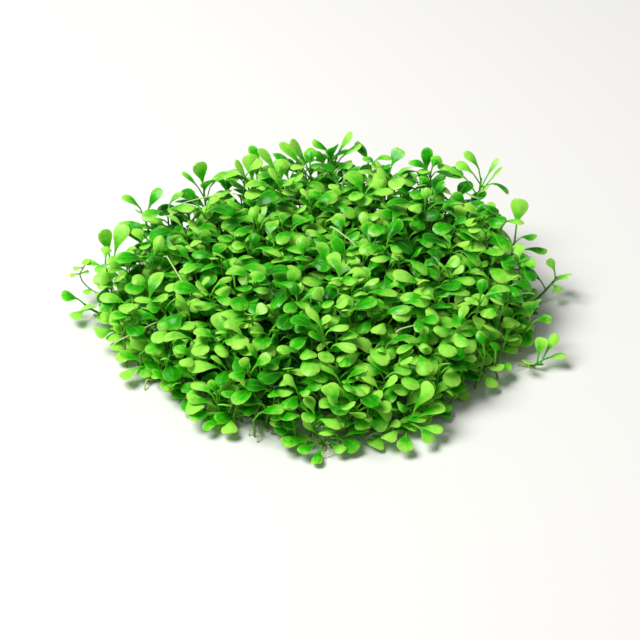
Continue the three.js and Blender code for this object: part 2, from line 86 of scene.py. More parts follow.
# The shoots that stand out round the rim, in millimetres: the foot, the top of the stem, and for each
# leaf the place of its tip, its width, and where needed its bend in degrees and its share up the stem
SPRIGS: dict[str, tuple[tuple, tuple, list[tuple]]] = {
    "sprig_top_centre": ((2.5, 34), (3.8, 40, 20.5), [
        (-1.2, 42, 25.4, 3, 60), (8.2, 42, 27.4, 2.2, 30), (10.6, 41, 24.6, 2, 50),
        (4, 38.2, 25.6, 3.2, 70), (0.2, 39.6, 19.2, 3, 70), (8.4, 40, 20.6, 3.2, 70),
    ]),
    "sprig_top_left": ((-3.5, 33), (-1.2, 37.5, 17.5), [
        (-6.5, 40, 26.7, 2.9, 20), (-9.4, 41.5, 24.8, 2.4, 30), (2.2, 36, 20, 3.2, 60),
    ]),
    "sprig_back_left": ((-9.5, 31), (-8.4, 35.5, 17), [
        (-14, 39.5, 24.4, 2.6, 40), (-8.6, 37.8, 22.6, 3.6, 40), (-5, 33, 20, 3.4, 70),
    ]),
    "sprig_back_round": ((-17, 30), (-15.4, 34.5, 15.5), [
        (-15.6, 37.6, 24.2, 3.7, 30), (-19.4, 37.6, 22.6, 2, 20), (-21, 33, 19.5, 3.2, 60),
        (-12, 33, 18, 3, 70),
    ]),
    "sprig_back_right": ((17.5, 31), (16.6, 35.8, 19.6), [
        (19.7, 39.2, 24.4, 3.3, 45), (12.6, 36.6, 21.6, 3, 70), (21.6, 34.4, 21.2, 3, 70),
    ]),
    "sprig_back_tall": ((25.6, 28), (25.2, 34.6, 17.6), [
        (25.6, 38.8, 25.2, 2.5, 15), (30, 35, 19.8, 3, 70), (22.4, 31, 20, 3.2, 70),
    ]),
    "sprig_right_back": ((34.5, 22.5), (38, 31, 21.2), [
        (33.8, 33.6, 27, 2.2, 75), (32, 34, 23.8, 2.5, 60), (44.8, 31.6, 17.2, 3.4, 95),
        (42, 33.4, 25.4, 1.2, 15), (43, 32.4, 23.6, 1, 10), (39.2, 27.6, 20.4, 2.9, 70),
        (27.8, 35.8, 22.6, 3, 70, 0.8), (35, 27.4, 18.6, 3.2, 70, 0.75),
    ]),
    "sprig_right_round": ((41.5, 12), (45.2, 17.2, 14), [
        (45.8, 20, 23, 3.7, 12), (49.8, 14.6, 15.8, 3.2, 70), (52.6, 16, 11.4, 3, 60, 0.7),
        (40.6, 16.6, 17.4, 3.4, 60),
    ]),
    "sprig_right_low": ((49.6, 10.2), (55, 13.4, 5.6), [
        (53.2, 15.4, 9.6, 2.3, 50), (58, 11.4, 7.6, 2, 40), (55.2, 9.8, 4.2, 2.8, 60),
        (57.4, 14.8, 5.2, 2.2, 50),
    ]),
    "sprig_right_front": ((46, -13.4), (49.2, -15.4, 2.2), [
        (52.2, -11.4, 8, 2.2, 10), (49.2, -12.4, 7.6, 2.6, 60), (54.6, -13.4, 3.4, 2.2, 40),
        (45.4, -17.6, 4, 2.6, 40),
    ]),
    "sprig_right_stalk": ((43.4, -7.4), (46.6, -9, 9), [
        (46.8, -10.4, 15.8, 3.8, 30), (51.6, -7.6, 9.4, 2.8, 70), (41.4, -12.6, 6.4, 3.2, 50, 0.4),
    ]),
    "sprig_right_rim": ((34.6, -16), (36.8, -17.4, 3.2), [
        (42.4, -17.2, 3.6, 3, 40), (38, -23.6, 2.4, 2.6, 50), (40, -20.6, 5, 3, 50),
        (32.6, -20.8, 5.4, 2.8, 60),
    ]),
    "sprig_front_right": ((18.3, -37.2), (19.6, -37.6, 4.4), [
        (24.2, -42.2, 2.6, 3.2, 50), (23.2, -34.8, 13, 3.7, 30), (26.8, -36, 7, 3.2, 70),
        (26.4, -39.4, 3.4, 2.6, 50), (13.4, -42.6, 3.6, 3.2, 60), (17.8, -45.2, 2.2, 3, 60),
    ]),
    "sprig_front_low": ((6.8, -35.6), (8, -36.8, 7.4), [
        (3, -34.2, 11.2, 3, 60), (13.8, -34.8, 10, 2.8, 60), (15.6, -38.6, 8, 3, 70),
        (3, -41.2, 5, 3.5, 70), (10.2, -42.4, 5.8, 3.2, 80), (0, -37.2, 8, 3.2, 60, 0.8),
    ]),
    "sprig_front": ((1.2, -40.4), (1.2, -41.8, 2.2), [
        (-7.8, -43.4, 3.8, 3.3, 30), (-3.8, -46, 2.6, 2.4, 40), (-0.4, -48.2, 1.4, 2, 30),
        (-3.2, -40.4, 6.8, 2.2, 30), (5.8, -45.2, 2.4, 2.4, 50),
    ]),
    "sprig_front_left": ((-17.4, -31.2), (-19.4, -34, 3.2), [
        (-27.2, -35.8, 3.8, 2.9, 30), (-19.6, -36.2, 7.2, 2.8, 70), (-23.8, -38.8, 2.2, 2, 30),
        (-18.6, -40, 2.4, 3, 50), (-12.6, -36.4, 5.8, 3, 50),
    ]),
    "sprig_left_front": ((-34.6, -15), (-37, -16.8, 3.4), [
        (-43, -20.8, 3, 3.2, 40), (-43.4, -16.4, 6.2, 3.3, 40), (-40.4, -12.8, 8.6, 3.4, 50),
        (-34.2, -22, 3.6, 2.8, 50),
    ]),
    "sprig_left_rim": ((-41.4, -4.4), (-43.8, -5.4, 3.6), [
        (-49.2, -8.6, 6.6, 3.4, 40), (-47.6, -1.4, 6.6, 3.6, 60), (-44.8, -11, 3, 2.8, 50),
    ]),
    "sprig_left_low": ((-49.2, 5.4), (-53.2, 5.6, 3.6), [
        (-58, 4.4, 6.6, 3.5, 60), (-51.2, 0.6, 6, 3.2, 60), (-55.6, 1.2, 3, 2.8, 40),
    ]),
    "sprig_left_tall": ((-43.6, 9.6), (-47.4, 12.4, 9.8), [
        (-48.6, 13.8, 18.6, 3, 15), (-43.8, 17, 18, 3.3, 50), (-40.8, 11.4, 14, 3, 70),
        (-48.6, 8, 9, 3, 70), (-54.4, 13.6, 9.4, 2, 40, 0.75),
    ]),
    "sprig_left_up": ((-36.6, 18), (-40, 22.6, 16), [
        (-45.2, 23.4, 21, 2.8, 80), (-36, 25.6, 22, 2.6, 60), (-41, 19, 19.4, 3.1, 70),
        (-46.2, 20.6, 15.6, 3, 70),
    ]),
    "sprig_back_hidden": ((3, 41.6), (5, 43, 6), [
        (7.6, 47.85, 8.4, 3, 50), (0, 46.6, 11, 3.2, 50), (11, 44.4, 12, 3.2, 60),
        (3.4, 47.4, 14, 3, 40),
    ]),
    "sprig_left_high": ((-25.6, 26), (-26.6, 31, 17.4), [
        (-27.8, 32.4, 25, 3.3, 20), (-31.9, 32.2, 22.2, 1.9, 40), (-25, 28.8, 22.2, 3.4, 60),
        (-17.8, 29.8, 23.8, 2.5, 90),
    ]),
}


def level(angle: float) -> Vector:
    """Returns the level direction at an angle from +X."""
    return Vector((math.cos(angle), math.sin(angle), 0.0))


def left_of(heading: Vector) -> Vector:
    """Returns the level direction a quarter turn to the left of another."""
    return Vector((-heading.y, heading.x, 0.0))


def leaning(foot: Vector, angle: float, away: float, height: float) -> Vector:
    """Returns the point at a height that lies some way from a foot in the direction of an angle."""
    return Vector((foot.x + away * math.cos(angle), foot.y + away * math.sin(angle), height))


def linked(name: str, data: bpy.types.ID) -> bpy.types.Object:
    """Makes an object and puts it into the scene.

    Args:
        name: its name.
        data: its mesh, lamp or camera.

    Returns:
        The object.
    """
    made = bpy.data.objects.new(name, data)
    bpy.context.scene.collection.objects.link(made)
    return made


class Chance:
    """A stream of numbers from 0 to 1, the same for the same seed."""

    MULTIPLIER = 1664525
    STEP = 1013904223
    SPREAD = 2654435761
    SIZE = 2 ** 32

    def __init__(self, seed: int) -> None:
        """Starts the stream.

        Args:
            seed: any whole number; each gives its own stream.
        """
        self.state = seed * self.SPREAD % self.SIZE

    def next(self) -> float:
        """Returns the next number of the stream."""
        self.state = (self.state * self.MULTIPLIER + self.STEP) % self.SIZE
        return self.state / self.SIZE

    def between(self, low: float, high: float) -> float:
        """Returns the next number of the stream, from low to high."""
        return low + (high - low) * self.next()

    def angle(self, low: float = 0.0, high: float = 360.0) -> float:
        """Returns the next number of the stream, from low to high degrees, in radians."""
        return math.radians(self.between(low, high))


@dataclass(frozen=True)
class Mat:
    """The outline and height of the mat, in millimetres, as the solids have them."""

    radius: float = 45.0
    wider_sides: float = 3.0
    corners: float = 2.0
    canopy_middle: float = 20.0
    canopy_rim: float = 17.5
    front_drop: float = 6.5
    fall_from: float = 0.35
    golden_turn: float = math.pi * (3 - math.sqrt(5))

    def reach(self, angle: float) -> float:
        """Returns how far the mat reaches from its middle in the direction of an angle."""
        return self.radius + self.wider_sides * math.cos(2 * angle) + self.corners * math.cos(4 * angle)

    def share(self, x: float, y: float) -> float:
        """Returns how far out a point of the ground is, 0 in the middle and 1 at the outline."""
        return math.hypot(x, y) / self.reach(math.atan2(y, x))

    def canopy(self, x: float, y: float) -> float:
        """Works out how high the tips of the solids' leaves are.

        Args:
            x: the point of the ground, to the right of the middle.
            y: the same point, behind the middle.

        Returns:
            The height of the tips over it.
        """
        rim = self.canopy_rim - self.front_drop * max(0.0, -math.sin(math.atan2(y, x)))
        fall = min(1.0, max(0.0, (self.share(x, y) - self.fall_from) / (1 - self.fall_from)))
        smooth = fall * fall * (3 - 2 * fall)
        return self.canopy_middle + (rim - self.canopy_middle) * smooth

    def seed_place(self, index: int, count: int, reach: float, start: float = 0.0) -> tuple[Vector, float]:
        """Places one of a number of plants as a sunflower sets its seeds.

        Args:
            index: which plant.
            count: how many plants there are.
            reach: how far out the last one is, beside the outline.
            start: the direction of the first one.

        Returns:
            The place on the ground and its direction from the middle.
        """
        angle = start + index * self.golden_turn
        out = math.sqrt((index + 0.5) / count) * reach * self.reach(angle)
        return Vector((out * math.cos(angle), out * math.sin(angle), 0.0)), angle


@dataclass
class Leaf:
    """One spoon-shaped leaf, whose midrib is an arc in an upright plane. Millimetres and radians."""

    root: Vector
    azimuth: float
    rise: float
    bend: float
    length: float
    width: float
    twist: float = 0.0
    cup: float = 0.1
    stalk: float = 0.0
    tint: float = 0.5
    age: float = 0.3

    @property
    def side(self) -> Vector:
        """The level direction across the leaf."""
        return left_of(level(self.azimuth))

    def at(self, share: float) -> Vector:
        """Finds a point of the midrib.

        Args:
            share: how far along it, 0 at the root and 1 at the tip.

        Returns:
            The point.
        """
        pitch = self.rise - self.bend * share
        radius = self.length / self.bend
        out = radius * (math.sin(self.rise) - math.sin(pitch))
        up = radius * (math.cos(pitch) - math.cos(self.rise))
        return self.root + level(self.azimuth) * out + UP * up

    def tries(self, turns: tuple, shorter: float) -> Iterator["Leaf"]:
        """Yields the leaf in other directions, each a little shorter than the last.

        Args:
            turns: how far each is turned about the stem, in degrees.
            shorter: the share of its length that each loses more than the one before.

        Yields:
            Each turned leaf.
        """
        for attempt, turn in enumerate(turns):
            azimuth = self.azimuth + math.radians(turn)
            yield replace(self, azimuth=azimuth, length=self.length * (1 - shorter * attempt))

    @staticmethod
    def to_tip(root: Vector, tip: Vector, width: float, bend: float) -> "Leaf":
        """Makes the leaf that runs from a root to a tip.

        Args:
            root: where it leaves its stem.
            tip: where it ends.
            width: across its blade.
            bend: how far its midrib turns, in degrees.

        Returns:
            The leaf.
        """
        chord = tip - root
        half = math.radians(bend) / 2
        return Leaf(
            root=root,
            azimuth=math.atan2(chord.y, chord.x),
            rise=math.asin(chord.z / chord.length) + half,
            bend=2 * half,
            length=chord.length * half / math.sin(half),
            width=width,
        )


@dataclass(frozen=True)
class LeafRanges:
    """What chance picks a leaf from: rise and bend in degrees, length and width in millimetres."""

    rise: Range
    bend: Range
    length: Range
    width: Range

    def pick(self, root: Vector, azimuth: float, chance: Chance) -> Leaf:
        """Picks a leaf.

        Args:
            root: where it leaves its stem.
            azimuth: its direction, in radians.
            chance: the stream of numbers.

        Returns:
            The leaf.
        """
        rise, bend = chance.angle(*self.rise), chance.angle(*self.bend)
        return Leaf(root, azimuth, rise, bend, chance.between(*self.length), chance.between(*self.width))


@dataclass(frozen=True)
class Storey(LeafRanges):
    """One pair of leaves on a stem: also how far it starts below the top, its age and the gap it keeps."""

    below: float
    age: float
    gap: float


@dataclass
class Stalk:
    """A runner, stem or root: points along it, its girth at both ends, and how pale it is."""

    points: list[Vector]
    foot_radius: float
    tip_radius: float
    pale: float = 0.0

    @property
    def span(self) -> float:
        """The straight distance from its first point to its last."""
        return (self.points[-1] - self.points[0]).length

    def up(self, share: float) -> Vector:
        """Returns the point a share of the way from the first point straight to the last."""
        return self.points[0].lerp(self.points[-1], share)

    def radius(self, share: float) -> float:
        """Returns its girth at a share of the way."""
        return self.foot_radius + (self.tip_radius - self.foot_radius) * share

    def smooth(self, steps: int) -> list[Vector]:
        """Returns a smooth line through its points.

        Args:
            steps: how many pieces each span is cut into.

        Returns:
            The points of the line.
        """
        ends = [2 * self.points[0] - self.points[1], *self.points, 2 * self.points[-1] - self.points[-2]]
        line = []
        for before, start, stop, after in zip(ends, ends[1:], ends[2:], ends[3:]):
            for step in range(steps):
                t = step / steps
                pull = (stop - before) * t + (2 * before - 5 * start + 4 * stop - after) * t ** 2
                line.append(start + (pull + (3 * start - before - 3 * stop + after) * t ** 3) / 2)
        return [*line, self.points[-1]]


@dataclass
class Plan:
    """Everything that one plant of the mat is made of."""

    name: str
    kind: Kind
    place: Vector
    stalks: list[Stalk] = field(default_factory=list)
    leaves: list[Leaf] = field(default_factory=list)


def nearest(plans: list[Plan], place: Vector) -> Plan:
    """Returns the plan that stands nearest to a place."""
    return min(plans, key=lambda plan: (plan.place - place).length)


@dataclass(frozen=True)
class LeafLook:
    """How one kind of plan wears the leaves of its solid: beside their size, their stalk, tint and age."""

    wider: float
    longer: float
    stalk: float
    least_tint: float
    age: float


class Solids:
    """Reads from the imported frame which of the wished-for leaves and runners its solids have."""

    NEAR = 0.03

    def __init__(self) -> None:
        """Starts with no node read."""
        self.read: dict[str, np.ndarray] = {}

    def has(self, node: str, point: Vector) -> bool:
        """Tells whether a node has a corner at a point.

        Args:
            node: the node's name.
            point: the place, in millimetres.

        Returns:
            True if one of its corners is there.
        """
        if node not in self.read:
            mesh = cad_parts[node].data
            corners = np.empty(len(mesh.vertices) * 3)
            mesh.vertices.foreach_get("co", corners)
            self.read[node] = corners.reshape(-1, 3) / MM
        gaps = np.linalg.norm(self.read[node] - np.array(point), axis=1)
        return bool(gaps.min() < self.NEAR)


@dataclass
class SolidPlans:
    """Repeats the plan of the solids: their runners, stems and leaves, in millimetres and degrees."""

    mat: Mat = field(default_factory=Mat)
    plantlets: int = 32
    plantlet_reach: float = 0.85
    runner_length: float = 7.4
    runner_foot: float = 1.0
    runner_radius: float = 0.36
    runner_pale: float = 0.7
    runner_swing: Range = (-50, 50)
    runner_turns: tuple = (0, 20, -20, 40, -40, 60, -60, 80, -80)
    stem_sunk: float = 0.66
    stem_spread: float = 2.7
    stem_lean: float = 1.6
    stem_swing: Range = (-90, 90)
    stem_foot: float = 0.32
    stem_tip: float = 0.22
    top_below_canopy: Range = (5.3, 7.8)
    sprig_first: float = 0.7
    sprig_apart: float = 0.8
    sprig_lowest: float = 0.8
    petiole_width: float = 0.4
    tip_share: float = 0.54
    default_bend: float = 40.0
    leaf_swing: Range = (-14, 14)
    leaf_ranges: LeafRanges = LeafRanges(rise=(52, 74), bend=(55, 95), length=(8.4, 10.6), width=(3.5, 4.5))
    turns: tuple = (0, 20, -20, 40, -40, 62, -62, 85)
    shorter: float = 0.035
    # For each leaf of the two stems its share up the stem, its turn round it and what it is longer by
    stem_leaves: tuple = (((0.9, 0, 0), (0.9, 180, 0), (0.58, 90, 1.4)), ((0.9, 0, 0), (0.9, 180, 0)))
    seed: int = 77
    twist: Range = (-16, 16)
    cup: Range = (-0.26, 0.12)
    looks: dict = field(default_factory=lambda: {
        Kind.SPRIG: LeafLook(wider=1.18, longer=0.97, stalk=0.35, least_tint=0.35, age=0.12),
        Kind.PLANTLET: LeafLook(wider=1.0, longer=1.0, stalk=0.1, least_tint=0.0, age=0.2),
    })

    def all(self) -> list[Plan]:
        """Plans every sprig and plantlet that the frame has.

        Returns:
            The plans, the sprigs first.
        """
        solids = Solids()
        plans = [self.sprig(name, *SPRIGS[name]) for name in SPRIGS]
        for index in range(self.plantlets):
            name = f"{Kind.PLANTLET.value}_{index + 1:02d}"
            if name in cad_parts:
                plans.append(self.plantlet(name, index, solids))
        self.vary(plans)
        return plans

    def vary(self, plans: list[Plan]) -> None:
        """Gives each leaf a twist, a cup and a tint of its own; the rim's shoots are the youngest.

        Args:
            plans: the plans, whose leaves change.
        """
        chance = Chance(self.seed)
        for plan in plans:
            look = self.looks[plan.kind]
            for leaf in plan.leaves:
                leaf.twist = chance.angle(*self.twist)
                leaf.cup = chance.between(*self.cup)
                leaf.tint = chance.between(look.least_tint, 1.0)
                leaf.stalk = look.stalk
                leaf.width *= look.wider
                leaf.length *= look.longer
                leaf.age = look.age

    def stem(self, foot: Vector, top: Vector) -> Stalk:
        """Returns the stem between two points."""
        return Stalk([foot, top], self.stem_foot, self.stem_tip)

    def runner(self, middle: Vector, heading: float, length: float) -> Stalk:
        """Lays a straight runner on the ground.

        Args:
            middle: the place that its middle lies over.
            heading: its direction, in radians.
            length: from end to end.

        Returns:
            The runner.
        """
        half = level(heading) * (length / 2)
        middle = Vector((middle.x, middle.y, self.runner_radius))
        return Stalk([middle - half, middle + half], self.runner_radius, self.runner_radius, self.runner_pale)

    def sprig(self, name: str, foot: tuple, top: tuple, tips: list[tuple]) -> Plan:
        """Plans one shoot of the rim.

        Args:
            name: its node.
            foot: where it leaves the ground.
            top: the top of its stem.
            tips: its leaves, as SPRIGS gives them.

        Returns:
            The plan.
        """
        stem = self.stem(Vector((*foot, self.stem_sunk)), Vector(top))
        plan = Plan(name, Kind.SPRIG, Vector((*foot, 0.0)))
        plan.stalks = [self.runner(plan.place, math.atan2(foot[1], foot[0]), self.runner_length / 2), stem]
        for order, (x, y, z, width, *more) in enumerate(tips):
            bend, up = (*more, *(self.default_bend, None)[len(more):])
            if up is None:
                up = 1 - min(self.sprig_lowest, (self.sprig_first + self.sprig_apart * order) / stem.span)
            plan.leaves.append(Leaf.to_tip(stem.up(up), Vector((x, y, z)), width, bend))
        return plan

    def plantlet(self, name: str, index: int, solids: Solids) -> Plan:
        """Plans one plantlet inside the mat, with the runner and leaves that its solid has.

        Args:
            name: its node.
            index: its place in the row of plantlets.
            solids: the reader of the frame.

        Returns:
            The plan.
        """
        for turn in self.runner_turns:
            chance = Chance(index + 1)
            place, angle = self.mat.seed_place(index, self.plantlets, self.plantlet_reach)
            heading = angle + math.radians(turn + chance.between(*self.runner_swing))
            along = level(heading)
            if solids.has(name, place + along * self.runner_length / 2 + left_of(along) * self.runner_foot):
                break
        plan = Plan(name, Kind.PLANTLET, place, [self.runner(place, heading, self.runner_length)])
        faces = []
        for end in (-1, 1):
            foot = place + along * end * self.stem_spread + UP * self.stem_sunk
            lean = angle + chance.angle(*self.stem_swing)
            height = self.mat.canopy(foot.x, foot.y) - chance.between(*self.top_below_canopy)
            plan.stalks.append(self.stem(foot, leaning(foot, lean, self.stem_lean, height)))
            faces.append(chance.angle())
        for stem, face, rows in zip(plan.stalks[1:], faces, self.stem_leaves):
            for height, turn, longer in rows:
                azimuth = face + math.radians(turn + chance.between(*self.leaf_swing))
                wish = self.leaf_ranges.pick(stem.up(height), azimuth, chance)
                wish.length += longer
                plan.leaves.extend(self.grown(name, wish, solids))
        return plan

    def grown(self, name: str, wish: Leaf, solids: Solids) -> Iterator[Leaf]:
        """Finds the try of a wished-for leaf that a node has.

        Args:
            name: the node.
            wish: the leaf as it was first tried.
            solids: the reader of the frame.

        Yields:
            The try, if the node has one.
        """
        for leaf in wish.tries(self.turns, self.shorter):
            half = max(self.petiole_width, leaf.width * self.tip_share) / 2
            if any(solids.has(name, leaf.at(1) + leaf.side * half * way) for way in (-1, 1)):
                yield leaf
                return


class Crowd:
    """Keeps a spaced sample of every leaf grown so far, so that the next one can be tested against it."""

    ALONG = (0.34, 0.48, 0.6, 0.72, 0.84, 0.96)
    ACROSS = (-0.8, 0.0, 0.8)
    BLADE_FROM = 0.45
    REACH = 9.0

    def __init__(self) -> None:
        """Starts with no leaf."""
        self.middles: list[np.ndarray] = []
        self.samples: list[np.ndarray] = []

    def sample(self, leaf: Leaf) -> np.ndarray:
        """Spreads points over a leaf's blade and the end of its petiole.

        Args:
            leaf: the leaf.

        Returns:
            The points, one in a row.
        """
        side = np.array(leaf.side)
        rows = []
        for share in self.ALONG:
            point = np.array(leaf.at(share))
            if share < self.BLADE_FROM:
                rows.append(point)
                continue
            rows.extend(point + side * (way * leaf.width / 2) for way in self.ACROSS)
        return np.array(rows)

    def add(self, leaf: Leaf) -> None:
        """Takes in a leaf.

        Args:
            leaf: the leaf, which the next ones keep clear of.
        """
        points = self.sample(leaf)
        self.samples.append(points)
        self.middles.append(points.mean(axis=0))

    def has_room(self, leaf: Leaf, gap: float) -> bool:
        """Tells whether a leaf keeps a gap to all the others.

        Args:
            leaf: the leaf to try.
            gap: the least distance between samples, in millimetres.

        Returns:
            True if nothing is nearer.
        """
        points = self.sample(leaf)
        away = np.linalg.norm(np.array(self.middles) - points.mean(axis=0), axis=1)
        near = [self.samples[k] for k in np.flatnonzero(away < self.REACH)]
        if not near:
            return True
        gaps = np.linalg.norm(points[:, None] - np.concatenate(near)[None], axis=2)
        return bool(gaps.min() > gap)


@dataclass
class Thicket:
    """Fills the mat between the solids' leaves with more stems, each with several pairs of leaves."""

    mat: Mat = field(default_factory=Mat)
    crowd: Crowd = field(default_factory=Crowd)
    seed: int = 411
    twist: Range = (-28, 28)
    cup: Range = (-0.28, 0.1)
    turns: tuple = (0, 24, -24, 48, -48, 75, -75)
    shorter: float = 0.03

    stems: int = 330
    reach: float = 0.93
    start: float = 1.1
    lean: float = 1.8
    stem_swing: Range = (-100, 100)
    lift: Range = (2.4, 8.4)
    stem_foot: float = 0.28
    stem_tip: float = 0.2
    stem_pale: float = 0.2

    # The canopy rises over the solids' to the back and its corners, and has tufts
    back_rise: float = 6.0
    left_corner_rise: float = 5.0
    right_corner_rise: float = 12.0
    tuft_height: float = 1.8
    tuft_width: float = 3.6
    tuft_depth: float = 3.1

    rim_stems: int = 112
    rim_uneven: Range = (-0.3, 0.3)
    rim_out: Range = (0.81, 0.95)
    rim_lean: Range = (-0.3, 1.0)
    rim_back_inset: float = 0.08
    rim_height: Range = (1.8, 6.8)
    rim_back_height: Range = (3.0, 11.0)
    rim_pale: float = 0.1
    # Where the rim bulges or draws in: the direction, half its spread, and how far beside the outline
    rim_bulges: tuple = (
        (250.0, 9.0, -0.2), (281.0, 22.0, 0.02), (235.0, 8.0, 0.04), (90.0, 60.0, 0.07),
        (334.0, 22.0, -0.14), (40.0, 24.0, 0.15), (150.0, 18.0, 0.05), (206.0, 26.0, -0.08),
    )

    # What every leaf stays inside, and the shares of its length at which its crest may lie
    box_side: float = 57.6
    box_front: float = 47.6
    box_top: float = 26.8
    leaf_reach: float = 0.99
    ground_gap: float = 0.5
    over_canopy: float = 1.6
    crest: Range = (0.6, 0.8)

    storeys: tuple = (
        Storey((54, 84), (75, 130), (7.2, 10.8), (2.8, 4.2), below=1.5, age=0.2, gap=0.7),
        Storey((60, 90), (45, 110), (4.4, 7.8), (2.0, 3.4), below=0.3, age=0.0, gap=0.6),
        Storey((46, 78), (70, 125), (7.4, 11.0), (2.9, 4.3), below=4.0, age=0.4, gap=0.7),
        Storey((40, 72), (55, 110), (6.8, 10.2), (2.8, 4.2), below=6.8, age=0.65, gap=0.72),
        Storey((34, 66), (35, 85), (6.2, 8.8), (2.8, 4.0), below=9.6, age=0.8, gap=0.7),
        Storey((28, 60), (30, 70), (5.4, 7.6), (2.5, 3.6), below=12.4, age=0.9, gap=0.65),
        Storey((20, 50), (20, 60), (4.6, 6.6), (2.3, 3.3), below=15.2, age=1.0, gap=0.6),
    )
    solid_storeys: int = 2
    storey_turn: float = 90.0
    pair_swing: Range = (-20, 20)
    lowest_pair: float = 0.9

    # The low leaves that hide the foot of the rim
    skirt: Storey = Storey((6, 40), (25, 65), (6.0, 9.2), (3.1, 4.5), below=0.0, age=0.1, gap=0.55)
    skirt_leaves: int = 4
    skirt_swing: Range = (-80, 80)
    skirt_height: Range = (0.9, 3.4)
    skirt_share: float = 0.7
    skirt_reach: float = 0.01
    tall_stem: float = 8.0
    tall_rounds: int = 3

    def fill(self, plans: list[Plan]) -> None:
        """Adds stems and leaves to the plans they stand nearest to.

        Args:
            plans: the plans of the solids, which grow on.
        """
        chance = Chance(self.seed)
        for leaf in (leaf for plan in plans for leaf in plan.leaves):
            self.crowd.add(leaf)
        stems = [plan.stalks[1] for plan in plans]
        stems += [self.stem(index, chance) for index in range(self.stems)]
        stems += list(self.rim(chance))
        owners = plans + [nearest(plans, stem.points[0]) for stem in stems[len(plans):]]
        firsts = [chance.between(0, 360) for _ in stems]
        heights = [0.0] * len(stems)
        rim = range(len(plans) + self.stems, len(stems))

        def take(which: int, leaf: Leaf) -> None:
            """Gives a leaf to the owner of its stem.

            Args:
                which: the number of the stem.
                leaf: the leaf.
            """
            self.crowd.add(leaf)
            owners[which].leaves.append(leaf)
            heights[which] = max(heights[which], leaf.root.z)

        def skirt(which: int, stream: Chance) -> None:
            """Gives a stem of the rim one round of low leaves."""
            for leaf in self.low_leaves(stems[which], stream):
                take(which, leaf)

        for which in rim:
            skirt(which, chance)
        for order, storey in enumerate(self.storeys):
            for which, stem in enumerate(stems):
                if which < len(plans) and order < self.solid_storeys:
                    continue
                root = stem.up(max(0.0, 1 - storey.below / stem.span))
                for half in (0, 180):
                    turn = firsts[which] + half + self.storey_turn * order + chance.between(*self.pair_swing)
                    leaf = self.leaf(root, storey, math.radians(turn), chance)
                    if leaf:
                        take(which, leaf)
        late = Chance(self.seed + 1)
        for which in (which for which in rim if stems[which].points[-1].z > self.tall_stem):
            for _ in range(self.tall_rounds):
                skirt(which, late)
        for which in range(len(plans), len(stems)):
            if heights[which]:
                owners[which].stalks.append(self.cut(stems[which], heights[which]))

    def canopy(self, x: float, y: float) -> float:
        """Returns the height of the leaf tips, with the rise to the back of the mat and its tufts."""
        tufts = math.sin(x / self.tuft_width + self.start) * math.cos(y / self.tuft_depth)
        return self.mat.canopy(x, y) + self.rise(x, y) + self.tuft_height * tufts

    def rise(self, x: float, y: float) -> float:
        """Works out how far the mat rises over the solids' canopy, towards its back and back corners.

        Args:
            x: the point of the ground, to the right of the middle.
            y: the same point, behind the middle.

        Returns:
            The rise over that point.
        """
        back, aside = max(0.0, y / self.mat.radius), abs(x) / self.mat.radius
        corner = self.right_corner_rise if x > 0 else self.left_corner_rise
        return self.back_rise * back * back + corner * back * aside

    def bulge(self, angle: float) -> float:
        """Works out how much further than its outline the mat grows.

        Args:
            angle: the direction from the middle, in radians.

        Returns:
            How far it bulges there, beside the outline; less than 0 where it draws in.
        """
        whole = 0.0
        for middle, half, extra in self.rim_bulges:
            off = abs((math.degrees(angle) - middle + 180) % 360 - 180) / half
            whole += extra * (1 + math.cos(math.pi * off)) / 2 if off < 1 else 0.0
        return whole

    def stem(self, index: int, chance: Chance) -> Stalk:
        """Places one more stem on the mat's ground.

        Args:
            index: which stem.
            chance: the stream of numbers.

        Returns:
            The stem.
        """
        foot, angle = self.mat.seed_place(index, self.stems, self.reach, self.start)
        foot.z = self.stem_foot
        lean = angle + chance.angle(*self.stem_swing)
        height = self.canopy(foot.x, foot.y) - chance.between(*self.lift)
        top = leaning(foot, lean, self.lean, height)
        return Stalk([foot, top], self.stem_foot, self.stem_tip, self.stem_pale)

    def rim(self, chance: Chance) -> Iterator[Stalk]:
        """Places the stems of the rim, low at the front and taller and further in at the back.

        Args:
            chance: the stream of numbers.

        Yields:
            Each stem, round the mat from the right.
        """
        for index in range(self.rim_stems):
            angle = math.radians(360 * (index + chance.between(*self.rim_uneven)) / self.rim_stems)
            back = max(0.0, math.sin(angle))
            out = chance.between(*self.rim_out) - self.rim_back_inset * back
            height = chance.between(*self.rim_height)
            height += chance.between(*self.rim_back_height) * back
            outward = level(angle)
            foot = outward * self.mat.reach(angle) * (out + self.bulge(angle))
            foot.z = self.stem_foot
            top = foot + outward * self.lean * chance.between(*self.rim_lean)
            top.z = min(height + self.rise(foot.x, foot.y), self.canopy(foot.x, foot.y) - self.lift[0])
            yield Stalk([foot, top], self.stem_foot, self.stem_tip, self.rim_pale)

    @staticmethod
    def cut(stem: Stalk, height: float) -> Stalk:
        """Cuts a stem off at its highest leaf.

        Args:
            stem: the stem.
            height: how high its highest leaf grows from it.

        Returns:
            The shorter stem.
        """
        foot, top = stem.points
        share = min(1.0, (height - foot.z) / (top.z - foot.z))
        return replace(stem, points=[foot, stem.up(share)])

